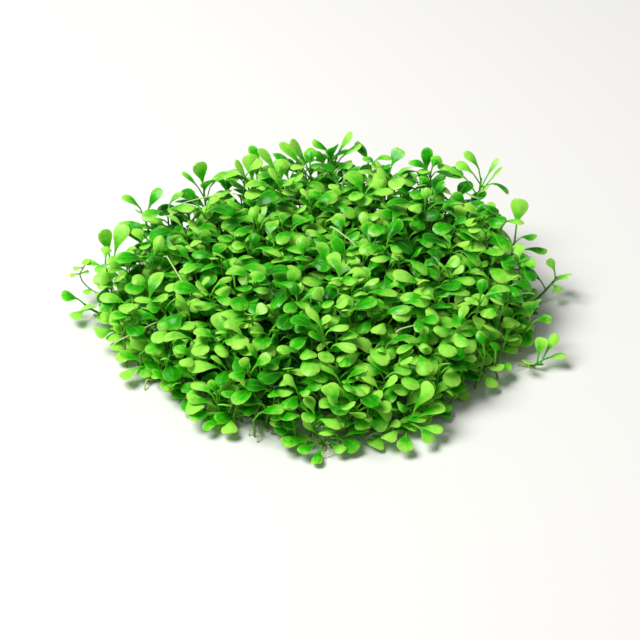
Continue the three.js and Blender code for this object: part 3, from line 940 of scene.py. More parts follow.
    def low_leaves(self, stem: Stalk, chance: Chance) -> Iterator[Leaf]:
        """Yields the leaves that a stem of the rim holds out just over the ground.

        Args:
            stem: the stem they grow on.
            chance: the stream of numbers.

        Yields:
            Each leaf that has room.
        """
        foot, top = stem.points
        outward = math.atan2(foot.y, foot.x)
        for _ in range(self.skirt_leaves):
            azimuth = outward + chance.angle(*self.skirt_swing)
            lowest, highest = self.skirt_height
            height = min(top.z, chance.between(lowest, max(highest, self.skirt_share * top.z)))
            root = stem.up((height - foot.z) / (top.z - foot.z))
            leaf = self.leaf(root, self.skirt, azimuth, chance, self.skirt_reach)
            if leaf:
                yield leaf

    def leaf(self, root: Vector, storey: Storey, azimuth: float, chance: Chance,
             further: float = 0.0) -> Optional[Leaf]:
        """Grows one leaf of a pair where it has room.

        Args:
            root: where it leaves its stem.
            storey: the ranges of its pair.
            azimuth: the direction wished for.
            chance: the stream of numbers.
            further: how far past the mat's outline it may reach, beside the outline.

        Returns:
            The leaf, or None where no try has room.
        """
        wish = storey.pick(root, azimuth, chance)
        wish.twist = chance.angle(*self.twist)
        wish.cup = chance.between(*self.cup)
        wish.tint = chance.next()
        wish.age = storey.age
        if root.z < self.lowest_pair:
            return None
        for leaf in wish.tries(self.turns, self.shorter):
            if self.inside(leaf, further) and self.crowd.has_room(leaf, storey.gap):
                return leaf
        return None

    def inside(self, leaf: Leaf, further: float) -> bool:
        """Tells whether a leaf stays off the ground, within the mat and its box, and under the canopy.

        Args:
            leaf: the leaf to try.
            further: how far past the mat's outline it may reach, beside the outline.

        Returns:
            True if it does.
        """
        tip = leaf.at(1)
        lowest = min(tip.z, leaf.at(WIDEST).z - leaf.width / 2 * abs(math.sin(leaf.twist)))
        highest = max(tip.z, *(leaf.at(share).z for share in self.crest))
        reach = self.leaf_reach + self.bulge(math.atan2(tip.y, tip.x)) + further
        return (lowest > self.ground_gap and highest < self.box_top
                and abs(tip.x) < self.box_side and abs(tip.y) < self.box_front
                and self.mat.share(tip.x, tip.y) < reach
                and tip.z < self.canopy(tip.x, tip.y) + self.over_canopy)


@dataclass
class Creepers:
    """Adds what lies over and under the leaves: stray runners, a curled shoot, runners and rootlets."""

    mat: Mat = field(default_factory=Mat)
    seed: int = 903
    thinner: float = 0.6

    # The pale runners that the photo shows over the mat, each a line of points
    strays: tuple = (
        ((-44.1, -17.2, 8.7), (-43.1, -16.7, 9.5), (-39.2, -14.8, 10.6), (-35.3, -12.8, 11.5),
         (-34.3, -12.3, 11.3)),
        ((-33.8, 5.3, 16.7), (-33.3, 4.2, 17), (-30.5, -1.4, 15.8), (-27.7, -6.9, 14.5),
         (-27.2, -8.0, 13.8)),
        ((-42.2, 3.8, 14.2), (-41.1, 3.9, 15), (-37.8, 4.2, 16.1), (-34.4, 4.6, 17), (-33.3, 4.7, 16.8)),
        ((2.8, 11.4, 20.5), (3.6, 10.5, 20.8), (5.6, 8.3, 20.5), (7.6, 6.1, 20), (8.4, 5.2, 19.3)),
        ((16.5, -22.7, 16.3), (17.6, -22.2, 16.8), (19.3, -21.5, 16.9), (21.0, -20.8, 16.8),
         (22.1, -20.3, 16.3)),
        ((41.1, -4.5, 12.8), (42.1, -4.0, 13), (44.7, -2.8, 12.3), (47.2, -1.5, 11.5), (48.2, -1.0, 10.7)),
        ((-31.9, 21.5, 19.6), (-30.8, 21.8, 20.2), (-27.5, 22.7, 20.7), (-24.2, 23.6, 21),
         (-23.1, 23.9, 20.6)),
        ((-19.0, -33.8, 1.4), (-18.7, -33.7, 3), (-17.9, -33.5, 5.8), (-17.1, -33.2, 8.5),
         (-16.8, -33.1, 9.1)),
        ((0.1, -45.0, 0.5), (2.6, -43.8, 1.1), (5.1, -41.5, 1.3), (6.8, -39.4, 0.6)),
    )
    stray_radius: float = 0.16
    stray_thinner: float = 0.8

    # The shoot that curls up at the left: its line, and for each leaf its point of the line, tip, width
    # and bend
    shoot: tuple = (
        (-50.4, 12.1, 1.6), (-52.4, 12.7, 2.6), (-54.0, 13.2, 4.2), (-54.5, 13.0, 6.6), (-53.6, 12.8, 8.4),
    )
    shoot_leaves: tuple = (
        (4, (-55.6, 11.3, 8.8), 1.9, 50), (4, (-51.9, 13.1, 10.2), 1.9, 40), (3, (-56.6, 12.0, 6.4), 1.8, 50),
        (3, (-52.4, 12.6, 7.2), 1.6, 50), (1, (-52.9, 9.6, 3.2), 2.2, 60), (0, (-49.6, 8.2, 3.4), 2.4, 60),
    )
    shoot_owner: str = "sprig_left_low"
    shoot_radius: float = 0.17
    shoot_pale: float = 0.6

    # The thin runners on the ground: how far each point swings aside and how high it lies
    runner_wave: tuple = ((0, 0.4), (0.8, 0.9), (-0.6, 0.5), (0.5, 1.2), (0, 0))
    runners_each: int = 4
    runner_length: Range = (4.0, 9.5)
    runner_radius: Range = (0.2, 0.32)
    runner_swing: Range = (-0.7, 0.7)
    runner_reach: float = 0.97
    runner_pale: float = 0.75

    # The rootlets of the plants near the rim: how far along and how high each point lies
    rootlet_droop: tuple = ((0.1, 0.5), (0.4, 1.1), (0.7, 0.5), (1.0, 0.0))
    rootlets_each: int = 5
    rootlet_length: Range = (1.6, 3.6)
    rootlet_radius: float = 0.07
    rim_share: float = 0.78

    def grow(self, plans: list[Plan]) -> None:
        """Adds the runners, the shoot and the rootlets to the plans.

        Args:
            plans: every plan of the mat.
        """
        chance = Chance(self.seed)
        tip_radius = self.stray_radius * self.stray_thinner
        for points in self.strays:
            line = [Vector(point) for point in points]
            owner = nearest(plans, Vector((line[0].x, line[0].y, 0.0)))
            owner.stalks.append(Stalk(line, self.stray_radius, tip_radius, pale=1.0))
        self.rim_shoot(next(plan for plan in plans if plan.name == self.shoot_owner))
        for plan in plans:
            for _ in range(self.runners_each):
                self.runner(plan, chance)
            if self.mat.share(plan.place.x, plan.place.y) > self.rim_share:
                for _ in range(self.rootlets_each):
                    self.rootlet(plan, chance)

    def rim_shoot(self, plan: Plan) -> None:
        """Adds the thin shoot that curls up at the left of the mat, with its few small leaves.

        Args:
            plan: the plan that it belongs to.
        """
        line = [Vector(point) for point in self.shoot]
        plan.stalks.append(Stalk(line, self.shoot_radius, self.shoot_radius, self.shoot_pale))
        for at, tip, width, bend in self.shoot_leaves:
            plan.leaves.append(replace(Leaf.to_tip(line[at], Vector(tip), width, bend), tint=1.0, age=0.0))

    def runner(self, plan: Plan, chance: Chance) -> None:
        """Adds a thin runner that winds over the ground from a plan's place.

        Args:
            plan: the plan.
            chance: the stream of numbers.
        """
        heading = level(chance.angle())
        length = chance.between(*self.runner_length)
        radius = chance.between(*self.runner_radius)
        wave = chance.between(*self.runner_swing)
        line = []
        for step, (swing, lift) in enumerate(self.runner_wave):
            along = heading * length * step / (len(self.runner_wave) - 1)
            point = plan.place + along + left_of(heading) * swing * wave
            line.append(Vector((point.x, point.y, radius + lift)))
        if self.mat.share(line[-1].x, line[-1].y) < self.runner_reach:
            plan.stalks.append(Stalk(line, radius, radius * self.thinner, self.runner_pale))

    def rootlet(self, plan: Plan, chance: Chance) -> None:
        """Adds a hair-thin root that droops onto the ground at the rim.

        Args:
            plan: the plan that it grows from.
            chance: the stream of numbers.
        """
        heading = level(chance.angle())
        length = chance.between(*self.rootlet_length)
        low = self.rootlet_radius
        line = [plan.place + heading * length * along + UP * (low + lift)
                for along, lift in self.rootlet_droop]
        plan.stalks.append(Stalk(line, low, low * self.thinner, pale=1.0))


def worked(operation: str, swapped: bool = False) -> Callable[..., "Wire"]:
    """Makes the method of Wire for one Math operation.

    Args:
        operation: the Math node's operation.
        swapped: whether the wire is its last value and not its first.

    Returns:
        The method, which takes the other values.
    """
    def method(wire: "Wire", *others: "Value") -> "Wire":
        """Adds the Math node and returns its output."""
        return wire.nodes.math(operation, *((*others, wire) if swapped else (wire, *others)))
    return method


class Wire:
    """A node's output that can be worked with in expressions; each adds its Math node to the tree."""

    def __init__(self, nodes: "Nodes", socket: bpy.types.NodeSocket) -> None:
        """Wraps a socket of the tree that nodes builds."""
        self.nodes = nodes
        self.socket = socket

    __add__, __radd__ = worked("ADD"), worked("ADD", swapped=True)
    __sub__, __rsub__ = worked("SUBTRACT"), worked("SUBTRACT", swapped=True)
    __mul__, __rmul__ = worked("MULTIPLY"), worked("MULTIPLY", swapped=True)
    __truediv__ = worked("DIVIDE")
    sin, cos, abs = worked("SINE"), worked("COSINE"), worked("ABSOLUTE")
    least, most = worked("MINIMUM"), worked("MAXIMUM")

    def ramp(self, low: float, high: float) -> "Wire":
        """Returns 0 below low, 1 above high and a smooth step between them."""
        inputs = {"Value": self, "From Min": low, "From Max": high}
        return self.nodes.add("ShaderNodeMapRange", inputs, interpolation_type="SMOOTHSTEP")


Value = Wire | float


class Nodes:
    """Adds nodes to one shader or Geometry Nodes tree."""

    def __init__(self, tree: bpy.types.NodeTree) -> None:
        """Empties the tree."""
        self.tree = tree
        tree.nodes.clear()

    def node(self, kind: str, inputs: Optional[dict] = None, **settings: str) -> bpy.types.Node:
        """Adds a node.

        Args:
            kind: its type.
            inputs: values or wires, by the name or number of their sockets.
            settings: its properties, set first.

        Returns:
            The node.
        """
        node = self.tree.nodes.new(kind)
        for name, value in settings.items():
            setattr(node, name, value)
        for name, value in (inputs or {}).items():
            socket = node.inputs[name]
            if isinstance(value, Wire):
                self.tree.links.new(value.socket, socket)
            else:
                socket.default_value = value
        return node

    def add(self, kind: str, inputs: Optional[dict] = None, output: str | int = 0, **settings: str) -> Wire:
        """Adds a node and returns one of its outputs."""
        return Wire(self, self.node(kind, inputs, **settings).outputs[output])

    def math(self, operation: str, *values: Value) -> Wire:
        """Adds a Math node over one to three values."""
        return self.add("ShaderNodeMath", dict(enumerate(values)), operation=operation)

    def parts(self, vector: Wire) -> list[Wire]:
        """Splits a vector into its three numbers."""
        return [Wire(self, output) for output in self.node("ShaderNodeSeparateXYZ", {0: vector}).outputs]


@dataclass
class LeafBlank:
    """The flat leaf that every leaf is bent from: share along it, place across it, and thickness."""

    stations: tuple = (0.0, 0.3, 0.43, 0.56, 0.68, 0.79, 0.89, 0.965)
    across: tuple = (-1.0, -0.52, 0.0, 0.52, 1.0, 0.5, -0.5)
    top: tuple = (0.0, 1.0, 0.82, 1.0, 0.0, -1.0, -1.0)
    taper: tuple = ((0.0, 0.0), (0.3, 0.09), (0.43, 0.3), (0.56, 0.68), (0.68, 0.95), (WIDEST, 1.0))
    tip_roundness: float = 2.2
    petiole_half: float = 0.15
    blade_half: float = 0.11
    tip_half: float = 0.06

    def width_at(self, share: float) -> float:
        """Works out how wide the blade is.

        Args:
            share: how far along the leaf, 0 at its root and 1 at its tip.

        Returns:
            Its width there, beside its whole width.
        """
        if share < WIDEST:
            return float(np.interp(share, *zip(*self.taper)))
        fall = (share - WIDEST) / (1 - WIDEST)
        return math.sqrt(max(0.0, 1 - fall ** self.tip_roundness))

    def thickness_at(self, share: float) -> float:
        """Returns half the thickness at a share of the length, in millimetres."""
        return float(np.interp(share, (0, WIDEST, 1), (self.petiole_half, self.blade_half, self.tip_half)))

    def build(self) -> bpy.types.Object:
        """Makes the blank, its rim sharp.

        Returns:
            The object that the growth tree copies.
        """
        around = len(self.across)
        corners, widths = [], []
        for share in self.stations:
            half = self.thickness_at(share) * MM
            corners += [(share, across, top * half) for across, top in zip(self.across, self.top)]
            widths += [self.width_at(share)] * around
        corners.append((1.0, 0.0, 0.0))
        widths.append(0.0)
        faces = [tuple(range(around))]
        for ring in range(len(self.stations) - 1):
            for k in range(around):
                here, beside = ring * around + k, ring * around + (k + 1) % around
                faces.append((here, here + around, beside + around, beside))
        last = (len(self.stations) - 1) * around
        faces += [(last + k, len(corners) - 1, last + (k + 1) % around) for k in range(around)]
        mesh = bpy.data.meshes.new("leaf_blank")
        mesh.from_pydata(corners, [], faces)
        mesh.polygons.foreach_set("use_smooth", [True] * len(mesh.polygons))
        rims = {k for k, across in enumerate(self.across) if abs(across) == 1}
        for edge in mesh.edges:
            first, second = sorted(edge.vertices)
            edge.use_edge_sharp = first % around in rims and second - first == around
        mesh.attributes.new("blank", "FLOAT_VECTOR", "POINT").data.foreach_set("vector", np.ravel(corners))
        mesh.attributes.new("spread", "FLOAT", "POINT").data.foreach_set("value", widths)
        return bpy.data.objects.new("leaf_blank", mesh)


class GrowthTree:
    """The Geometry Nodes that turn leaf roots into leaves, and lines into runners, stems and roots."""

    LEAF_VALUES = ("azimuth", "rise", "bend", "length", "width", "twist", "cup", "stalk")
    GIVEN = {"Geometry": "Geometry", "Leaf Blank": "Object", "Petiole Half Width": "Float",
             "Stalk Sides": "Int", "Leaf Finish": "Material", "Stalk Finish": "Material"}
    FOLD, BOWL = 0.6, 0.4

    def __init__(self) -> None:
        """Builds the tree and its named inputs."""
        self.tree = bpy.data.node_groups.new("growth", "GeometryNodeTree")
        for name, kind in self.GIVEN.items():
            self.tree.interface.new_socket(name, in_out="INPUT", socket_type=f"NodeSocket{kind}")
        self.tree.interface.new_socket("Geometry", in_out="OUTPUT", socket_type="NodeSocketGeometry")
        self.nodes = Nodes(self.tree)
        given = self.nodes.node("NodeGroupInput")
        self.given = {name: Wire(self.nodes, given.outputs[name]) for name in self.GIVEN}
        seeds = {"Geometry": self.given["Geometry"], "Selection": self.named("is_leaf")}
        parts = self.nodes.node("GeometryNodeSeparateGeometry", seeds, domain="POINT")
        leaves = self.leaves(Wire(self.nodes, parts.outputs["Selection"]))
        stalks = self.stalks(Wire(self.nodes, parts.outputs["Inverted"]))
        join = self.nodes.node("GeometryNodeJoinGeometry")
        for part in (stalks, leaves):
            self.tree.links.new(part.socket, join.inputs[0])
        whole = self.nodes.add("GeometryNodeRealizeInstances", {0: Wire(self.nodes, join.outputs[0])})
        self.nodes.node("NodeGroupOutput", {0: whole})

    def named(self, name: str, kind: str = "FLOAT") -> Wire:
        """Returns a named attribute."""
        return self.nodes.add("GeometryNodeInputNamedAttribute", {"Name": name}, data_type=kind)

    def finish(self, geometry: Wire, finish: str) -> Wire:
        """Gives a geometry one of the finishes."""
        inputs = {"Geometry": geometry, "Material": self.given[finish]}
        return self.nodes.add("GeometryNodeSetMaterial", inputs)

    def leaves(self, roots: Wire) -> Wire:
        """Copies the blank to every root and bends each copy along its midrib.

        Args:
            roots: the points that the leaves grow from.

        Returns:
            The leaves.
        """
        nodes = self.nodes
        blank = nodes.add("GeometryNodeObjectInfo", {0: self.given["Leaf Blank"]}, "Geometry")
        copies = nodes.add("GeometryNodeInstanceOnPoints", {"Points": roots, "Instance": blank})
        flat = nodes.add("GeometryNodeRealizeInstances", {0: copies})
        flat_share, across, layer = nodes.parts(self.named("blank", "FLOAT_VECTOR"))
        azimuth, rise, bend, length, width, twist, cup, stalk = map(self.named, self.LEAF_VALUES)
        share = flat_share + stalk * flat_share * (1 - flat_share)
        spread = self.named("spread")
        pitch = rise - bend * share
        radius = length / bend
        out = radius * (rise.sin() - pitch.sin())
        up = radius * (pitch.cos() - rise.cos())
        half = (width * spread * 0.5).most(self.given["Petiole Half Width"])
        lateral = across * half
        above = layer + cup * width * spread * (across.abs() * self.FOLD + across * across * self.BOWL)
        roll = twist * share
        aside = lateral * roll.cos() - above * roll.sin()
        lift = lateral * roll.sin() + above * roll.cos()
        ahead = out - lift * pitch.sin()
        bent = nodes.add("ShaderNodeCombineXYZ", {
            "X": azimuth.cos() * ahead - azimuth.sin() * aside,
            "Y": azimuth.sin() * ahead + azimuth.cos() * aside,
            "Z": up + lift * pitch.cos(),
        })
        root = self.named("root", "FLOAT_VECTOR")
        place = nodes.add("ShaderNodeVectorMath", {0: root, 1: bent}, operation="ADD")
        leaves = nodes.add("GeometryNodeSetPosition", {"Geometry": flat, "Position": place})
        return self.finish(leaves, "Leaf Finish")

    def stalks(self, lines: Wire) -> Wire:
        """Runs a round section along every line.

        Args:
            lines: the lines of the stalks, with their girth at each point.

        Returns:
            The closed stalks.
        """
        nodes, girth = self.nodes, self.named("girth")
        curves = nodes.add("GeometryNodeMeshToCurve", {0: lines})
        ring = {"Resolution": self.given["Stalk Sides"], "Radius": 1.0}
        tube = nodes.node("GeometryNodeCurveToMesh", {
            "Curve": nodes.add("GeometryNodeSetCurveRadius", {"Curve": curves, "Radius": girth}),
            "Profile Curve": nodes.add("GeometryNodeCurvePrimitiveCircle", ring),
            "Fill Caps": True,
        })
        if "Scale" in tube.inputs:
            self.tree.links.new(girth.socket, tube.inputs["Scale"])
        smooth = nodes.add("GeometryNodeSetShadeSmooth", {0: Wire(nodes, tube.outputs[0])})
        return self.finish(smooth, "Stalk Finish")


@dataclass
class Sprout:
    """Makes one plan's mesh: writes its roots and lines, and lets the growth tree turn them into a plant."""

    tree: GrowthTree
    blank: bpy.types.Object
    leaf_finish: bpy.types.Material
    stalk_finish: bpy.types.Material
    petiole_half: float = 0.2
    stalk_sides: int = 7
    stalk_steps: int = 6
    curve_steps: int = 4
    bow: float = 0.55
    bow_share: Range = (0.2, 1.0)
    steps_per_mm: int = 100

    def line(self, stalk: Stalk, chance: Chance) -> list[tuple[Vector, float]]:
        """Smooths a stalk of several points, or bows a straight one a little to one side.

        Args:
            stalk: the stalk.
            chance: the stream of numbers.

        Returns:
            Points along it, each with its radius.
        """
        if len(stalk.points) > 2:
            line = stalk.smooth(self.curve_steps)
            return [(point, stalk.radius(k / (len(line) - 1))) for k, point in enumerate(line)]
        aside = level(chance.angle())
        bow = self.bow * chance.between(*self.bow_share)
        shares = [step / self.stalk_steps for step in range(self.stalk_steps + 1)]
        return [(stalk.up(share) + aside * bow * math.sin(math.pi * share), stalk.radius(share))
                for share in shares]

    def seeds(self, plan: Plan) -> bpy.types.Mesh:
        """Writes a plan as points and lines with attributes, in metres.

        Args:
            plan: what to write.

        Returns:
            The mesh that the growth tree starts from.
        """
        chance = Chance(len(plan.leaves) + round(plan.place.length * self.steps_per_mm))
        points, edges, girths, pales = [], [], [], []
        for stalk in plan.stalks:
            line = self.line(stalk, chance)
            start = len(points)
            points += [point * MM for point, _ in line]
            girths += [radius * MM for _, radius in line]
            pales += [stalk.pale] * len(line)
            edges += [(k, k + 1) for k in range(start, len(points) - 1)]
        zeros, none = [0.0] * len(points), [0.0] * len(plan.leaves)
        points += [self.on_line(leaf.root * MM, points, edges) for leaf in plan.leaves]
        mesh = bpy.data.meshes.new(plan.name)
        mesh.from_pydata(points, edges, [])
        self.write(mesh, "is_leaf", zeros + [1.0] * len(plan.leaves))
        self.write(mesh, "girth", girths + none)
        self.write(mesh, "pale", pales + none)
        for name in (*GrowthTree.LEAF_VALUES, "tint", "age"):
            scale = MM if name in ("length", "width") else 1.0
            self.write(mesh, name, zeros + [getattr(leaf, name) * scale for leaf in plan.leaves])
        roots = mesh.attributes.new("root", "FLOAT_VECTOR", "POINT")
        roots.data.foreach_set("vector", np.ravel([tuple(point) for point in points]))
        return mesh

    @staticmethod
    def on_line(root: Vector, points: list[Vector], edges: list[tuple[int, int]]) -> Vector:
        """Moves a leaf's root onto the nearest bowed stalk.

        Args:
            root: where the leaf was planned.
            points: the points of the stalks.
            edges: which of them are joined.

        Returns:
            The nearest point of an edge.
        """
        places = []
        for first, second in edges:
            _, share = intersect_point_line(root, points[first], points[second])
            place = points[first].lerp(points[second], min(1.0, max(0.0, share)))
            places.append(((place - root).length, tuple(place)))
        return Vector(min(places)[1])

    @staticmethod
    def write(mesh: bpy.types.Mesh, name: str, values: list[float]) -> None:
        """Writes a number for each point of a mesh."""
        mesh.attributes.new(name, "FLOAT", "POINT").data.foreach_set("value", values)

    def grow(self, plan: Plan) -> bpy.types.Object:
        """Makes the piece that stands for a plan's node.

        Args:
            plan: what to grow.

        Returns:
            The piece, as a plain mesh.
        """
        seed = linked(f"{plan.name}_seed", self.seeds(plan))
        modifier = seed.modifiers.new("growth", "NODES")
        modifier.node_group = self.tree.tree
        values = {
            "Leaf Blank": self.blank,
            "Petiole Half Width": self.petiole_half * MM,
            "Stalk Sides": self.stalk_sides,
            "Leaf Finish": self.leaf_finish,
            "Stalk Finish": self.stalk_finish,
        }
        for item in self.tree.tree.interface.items_tree:
            if item.name in values and item.in_out == "INPUT":
                modifier[item.identifier] = values[item.name]
        evaluated = seed.evaluated_get(bpy.context.evaluated_depsgraph_get())
        mesh = bpy.data.meshes.new_from_object(evaluated)
        bpy.data.objects.remove(seed)
        mesh.name = f"{plan.name}_grown"
        piece = linked(f"{plan.name}_grown", mesh)
        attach(piece, BODY)
        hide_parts(plan.name)
        log.info("%s: %d leaves, %d stalks, %d faces", plan.name, len(plan.leaves), len(plan.stalks),
                 len(mesh.polygons))
        return piece


class Skin(Nodes):
    """The tree of a new material, with what the finishes read from the mesh that wears them."""

    # The Mix node's sockets for colours have numbers, because it has others of the same names
    SHARE, FIRST, SECOND, MIXED = 0, 6, 7, 2

    def __init__(self, name: str) -> None:
        """Starts a material.

        Args:
            name: its name.
        """
        self.material = bpy.data.materials.new(name)
        self.material.use_nodes = True
        super().__init__(self.material.node_tree)

    def read(self, attribute: str, output: str = "Fac") -> Wire:
        """Returns an attribute of the mesh."""
        return self.add("ShaderNodeAttribute", None, output, attribute_name=attribute)

    def place(self) -> Wire:
        """Returns the place on the object, in metres."""
        return self.add("ShaderNodeTexCoord", None, "Object")

    def noise(self, size: float, detail: float = 2.0) -> Wire:
        """Returns a noise around 0 that runs over the object."""
        inputs = {"Vector": self.place(), "Scale": size, "Detail": detail}
        return self.add("ShaderNodeTexNoise", inputs, "Fac") - 0.5

    def mix(self, share: Value, first: Wire | tuple, second: Wire | tuple, blend: str = "MIX") -> Wire:
        """Mixes two colours; share 0 gives the first."""
        inputs = {self.SHARE: share, self.FIRST: first, self.SECOND: second}
        return self.add("ShaderNodeMix", inputs, self.MIXED, data_type="RGBA", blend_type=blend)

    def with_painted_shade(self, share: Wire, colour: Wire, painted_shade: tuple) -> Wire:
        """Darkens a colour by a painted shade, as far as the share says."""
        return self.mix(share, colour, self.mix(1.0, colour, painted_shade, "MULTIPLY"))

    def done(self, inputs: dict) -> bpy.types.Material:
        """Finishes the material with its shader.

        Args:
            inputs: what its sockets get, by their names.

        Returns:
            The material.
        """
        surface = self.add("ShaderNodeBsdfPrincipled", inputs)
        self.node("ShaderNodeOutputMaterial", {"Surface": surface})
        return self.material


@dataclass(frozen=True)
class LeafFinish:
    """Living leaf: deep green when old, lime when young, paler along the stalk and midrib, with painted light
    and shade.
    """

    deep: tuple = (0.003, 0.13, 0.001, 1.0)
    fresh: tuple = (0.028, 0.44, 0.002, 1.0)
    lime: tuple = (0.36, 0.87, 0.085, 1.0)
    stalk: tuple = (0.15, 0.58, 0.03, 1.0)
    # painted shade: the colour that old leaves low in the mat are multiplied by
    painted_shade: tuple = (0.10, 0.2, 0.12, 1.0)
    roughness: float = 0.4
    roughness_spread: float = 0.2
    specular: float = 0.06
    coat: float = 0.34
    coat_roughness: float = 0.2
    coat_height: Range = (0.005, 0.018)
    subsurface: float = 0.35
    subsurface_radius: tuple = (0.35, 1.0, 0.12)
    subsurface_scale: float = 0.0012

    # What makes a leaf look young: its tint, its age and two noises; painted light also lightens the tip and
    # rim of its blade and darkens its base
    tint_weight: float = 0.6
    age_weight: float = 0.9
    painted_tip_light: float = 0.9
    painted_rim_light: float = 0.14
    mottle_size: float = 700.0
    mottle_strength: float = 0.5
    patch_size: float = 55.0
    patch_strength: float = 0.9
    youth_below: float = 0.5

    # Across the blade from 0 at the midrib to 1 at the rim, and along it from 0 at the stalk to 1
    rib: Range = (0.0, 0.2)
    rib_pale: float = 0.12
    # painted highlight along the rim of the blade
    rim: Range = (0.82, 1.0)
    rim_pale: float = 0.2
    stalk_to_blade: Range = (0.2, 0.55)
    # The heights and ages over which the painted shade comes in
    painted_shade_height: Range = (0.004, 0.017)
    painted_shade_age: Range = (0.1, 0.7)
    bump: float = 0.25
    bump_depth: float = 0.0002
    rib_groove: float = 0.6

    def make(self, name: str) -> bpy.types.Material:
        """Builds the material.

        Args:
            name: its name.

        Returns:
            The material.
        """
        skin = Skin(name)
        along, across, _ = skin.parts(skin.read("blank", "Vector"))
        tint, age = skin.read("tint"), skin.read("age")
        height = skin.parts(skin.place())[2]
        mottle = skin.noise(self.mottle_size)
        patch = skin.noise(self.patch_size, detail=1.0)
        out = across.abs()
        # Painted light and shade: the blade lighter towards its tip and rim, darker towards its base
        grown = (along - WIDEST) * self.painted_tip_light + out * out * self.painted_rim_light
        uneven = mottle * self.mottle_strength + patch * self.patch_strength
        youth = tint * self.tint_weight + (1 - age) * self.age_weight + grown + uneven - self.youth_below
        youth = youth.ramp(0.0, 1.0)
        rib = (1 - out.ramp(*self.rib)) * (1 - along.ramp(WIDEST, 1.0))
        # The paler midrib is the leaf's own; the paler rim is a painted highlight
        pale = rib * self.rib_pale + out.ramp(*self.rim) * self.rim_pale
        green = skin.mix((youth * 2).least(1.0), self.deep, self.fresh)
        green = skin.mix((youth * 2 - 1).most(0.0), green, self.lime)
        green = skin.mix(pale.least(1.0), green, self.lime)
        green = skin.mix(1 - along.ramp(*self.stalk_to_blade), green, self.stalk)
        # Painted shade: old leaves lower in the mat are darkened
        low = (1 - height.ramp(*self.painted_shade_height)) * age.ramp(*self.painted_shade_age)
        hollow = mottle - rib * self.rib_groove
        relief = {"Strength": self.bump, "Distance": self.bump_depth, "Height": hollow}
        return skin.done({
            "Base Color": skin.with_painted_shade(low, green, self.painted_shade),
            "Roughness": self.roughness + mottle * self.roughness_spread,
            "Normal": skin.add("ShaderNodeBump", relief, "Normal"),
            "Specular IOR Level": self.specular,
            "Coat Weight": height.ramp(*self.coat_height) * self.coat,
            "Coat Roughness": self.coat_roughness,
            "Subsurface Weight": self.subsurface,
            "Subsurface Radius": self.subsurface_radius,
            "Subsurface Scale": self.subsurface_scale,
        })


@dataclass(frozen=True)
class StalkFinish:
    """Stems and runners: green where they stand in the mat, cream where they creep over it, with painted
    shade near the ground.
    """

    green: tuple = (0.07, 0.36, 0.015, 1.0)
    cream: tuple = (0.68, 0.78, 0.36, 1.0)
    # painted shade: the colour that green stems low in the mat are multiplied by
    painted_shade: tuple = (0.5, 0.6, 0.4, 1.0)
    painted_shade_height: Range = (0.003, 0.016)
    roughness: float = 0.42
    roughness_spread: float = 0.2
    specular: float = 0.2
    streak_size: float = 500.0
    streak_strength: float = 0.5

    def make(self, name: str) -> bpy.types.Material:
        """Builds the material.

        Args:
            name: its name.

        Returns:
            The material.
        """
        skin = Skin(name)
        pale, streak = skin.read("pale"), skin.noise(self.streak_size)
        share = (pale + streak * self.streak_strength).most(0.0).least(1.0)
        colour = skin.mix(share, self.green, self.cream)
        # Painted shade: the green stems darker towards the ground
        low = 1 - skin.parts(skin.place())[2].ramp(*self.painted_shade_height)
        return skin.done({
            "Base Color": skin.with_painted_shade(low * (1 - pale), colour, self.painted_shade),
            "Roughness": self.roughness + streak * self.roughness_spread,
            "Specular IOR Level": self.specular,
        })


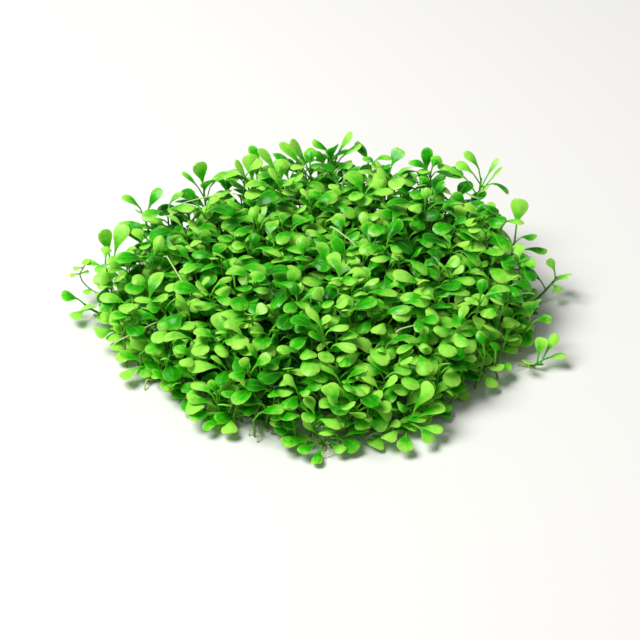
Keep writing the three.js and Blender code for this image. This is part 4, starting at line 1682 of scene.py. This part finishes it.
@dataclass
class Stage:
    """The plain floor, the soft studio light and the camera."""

    elevation: float = 36.0
    distance: float = 0.430
    lens: float = 107.63
    target: tuple = (0.0005, 0.0, 0.003)
    floor_side: float = 4.0
    floor_colour: tuple = (0.86, 0.85, 0.82, 1.0)
    floor_roughness: float = 0.9
    world_colour: tuple = (1.0, 1.0, 1.0, 1.0)
    world_strength: float = 0.22
    key_place: tuple = (-0.42, -0.06, 0.81)
    key_side: float = 0.55
    key_power: float = 10.0

    def build(self) -> None:
        """Sets up everything that isn't the plant."""
        self.floor()
        self.lights()
        self.camera()

    def floor(self) -> None:
        """Lays the floor just under the runners."""
        half = self.floor_side / 2
        mesh = bpy.data.meshes.new("floor")
        corners = [(x * half, y * half, 0) for x, y in ((-1, -1), (1, -1), (1, 1), (-1, 1))]
        mesh.from_pydata(corners, [], [(0, 1, 2, 3)])
        paint = {"Base Color": self.floor_colour, "Roughness": self.floor_roughness}
        mesh.materials.append(Skin("floor_paint").done(paint))
        floor = linked("floor", mesh)
        floor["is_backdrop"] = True

    def lights(self) -> None:
        """Adds the key light and the even light of the room."""
        key = bpy.data.lights.new("key", "AREA")
        key.shape = "DISK"
        key.size = self.key_side
        key.energy = self.key_power
        lamp = linked("key", key)
        lamp.location = self.key_place
        lamp.rotation_euler = (-Vector(self.key_place)).to_track_quat("-Z", "Y").to_euler()
        world = bpy.data.worlds.new("studio")
        world.use_nodes = True
        nodes = Nodes(world.node_tree)
        room = nodes.add("ShaderNodeBackground", {0: self.world_colour, 1: self.world_strength})
        nodes.node("ShaderNodeOutputWorld", {"Surface": room})
        bpy.context.scene.world = world

    def camera(self) -> None:
        """Places the camera at the photograph's angle."""
        camera = bpy.data.cameras.new("camera")
        camera.lens = self.lens
        eye = linked("camera", camera)
        tilt = math.radians(self.elevation)
        target = Vector(self.target)
        eye.location = target + Vector((0, -math.cos(tilt), math.sin(tilt))) * self.distance
        eye.rotation_euler = (target - eye.location).to_track_quat("-Z", "Y").to_euler()
        bpy.context.scene.camera = eye
        bpy.context.scene.view_settings.view_transform = "Standard"


def main() -> None:
    """Grows the mat over its frame and sets the stage."""
    logging.basicConfig(level=logging.INFO, format="%(message)s", stream=sys.stdout)
    cad_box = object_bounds()
    plans = SolidPlans().all()
    Thicket().fill(plans)
    Creepers().grow(plans)
    blank = LeafBlank().build()
    sprout = Sprout(GrowthTree(), blank, LeafFinish().make("living_leaf"), StalkFinish().make("stem_skin"))
    for plan in plans:
        sprout.grow(plan)
    bpy.data.objects.remove(blank)
    Stage().build()
    log.info("%d leaves in all", sum(len(plan.leaves) for plan in plans))
    boxes = {"cad": cad_box, "dressed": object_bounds()}
    {name: [list(corner) for corner in box] for name, box in boxes.items()}


if __name__ == "__main__":
    main()
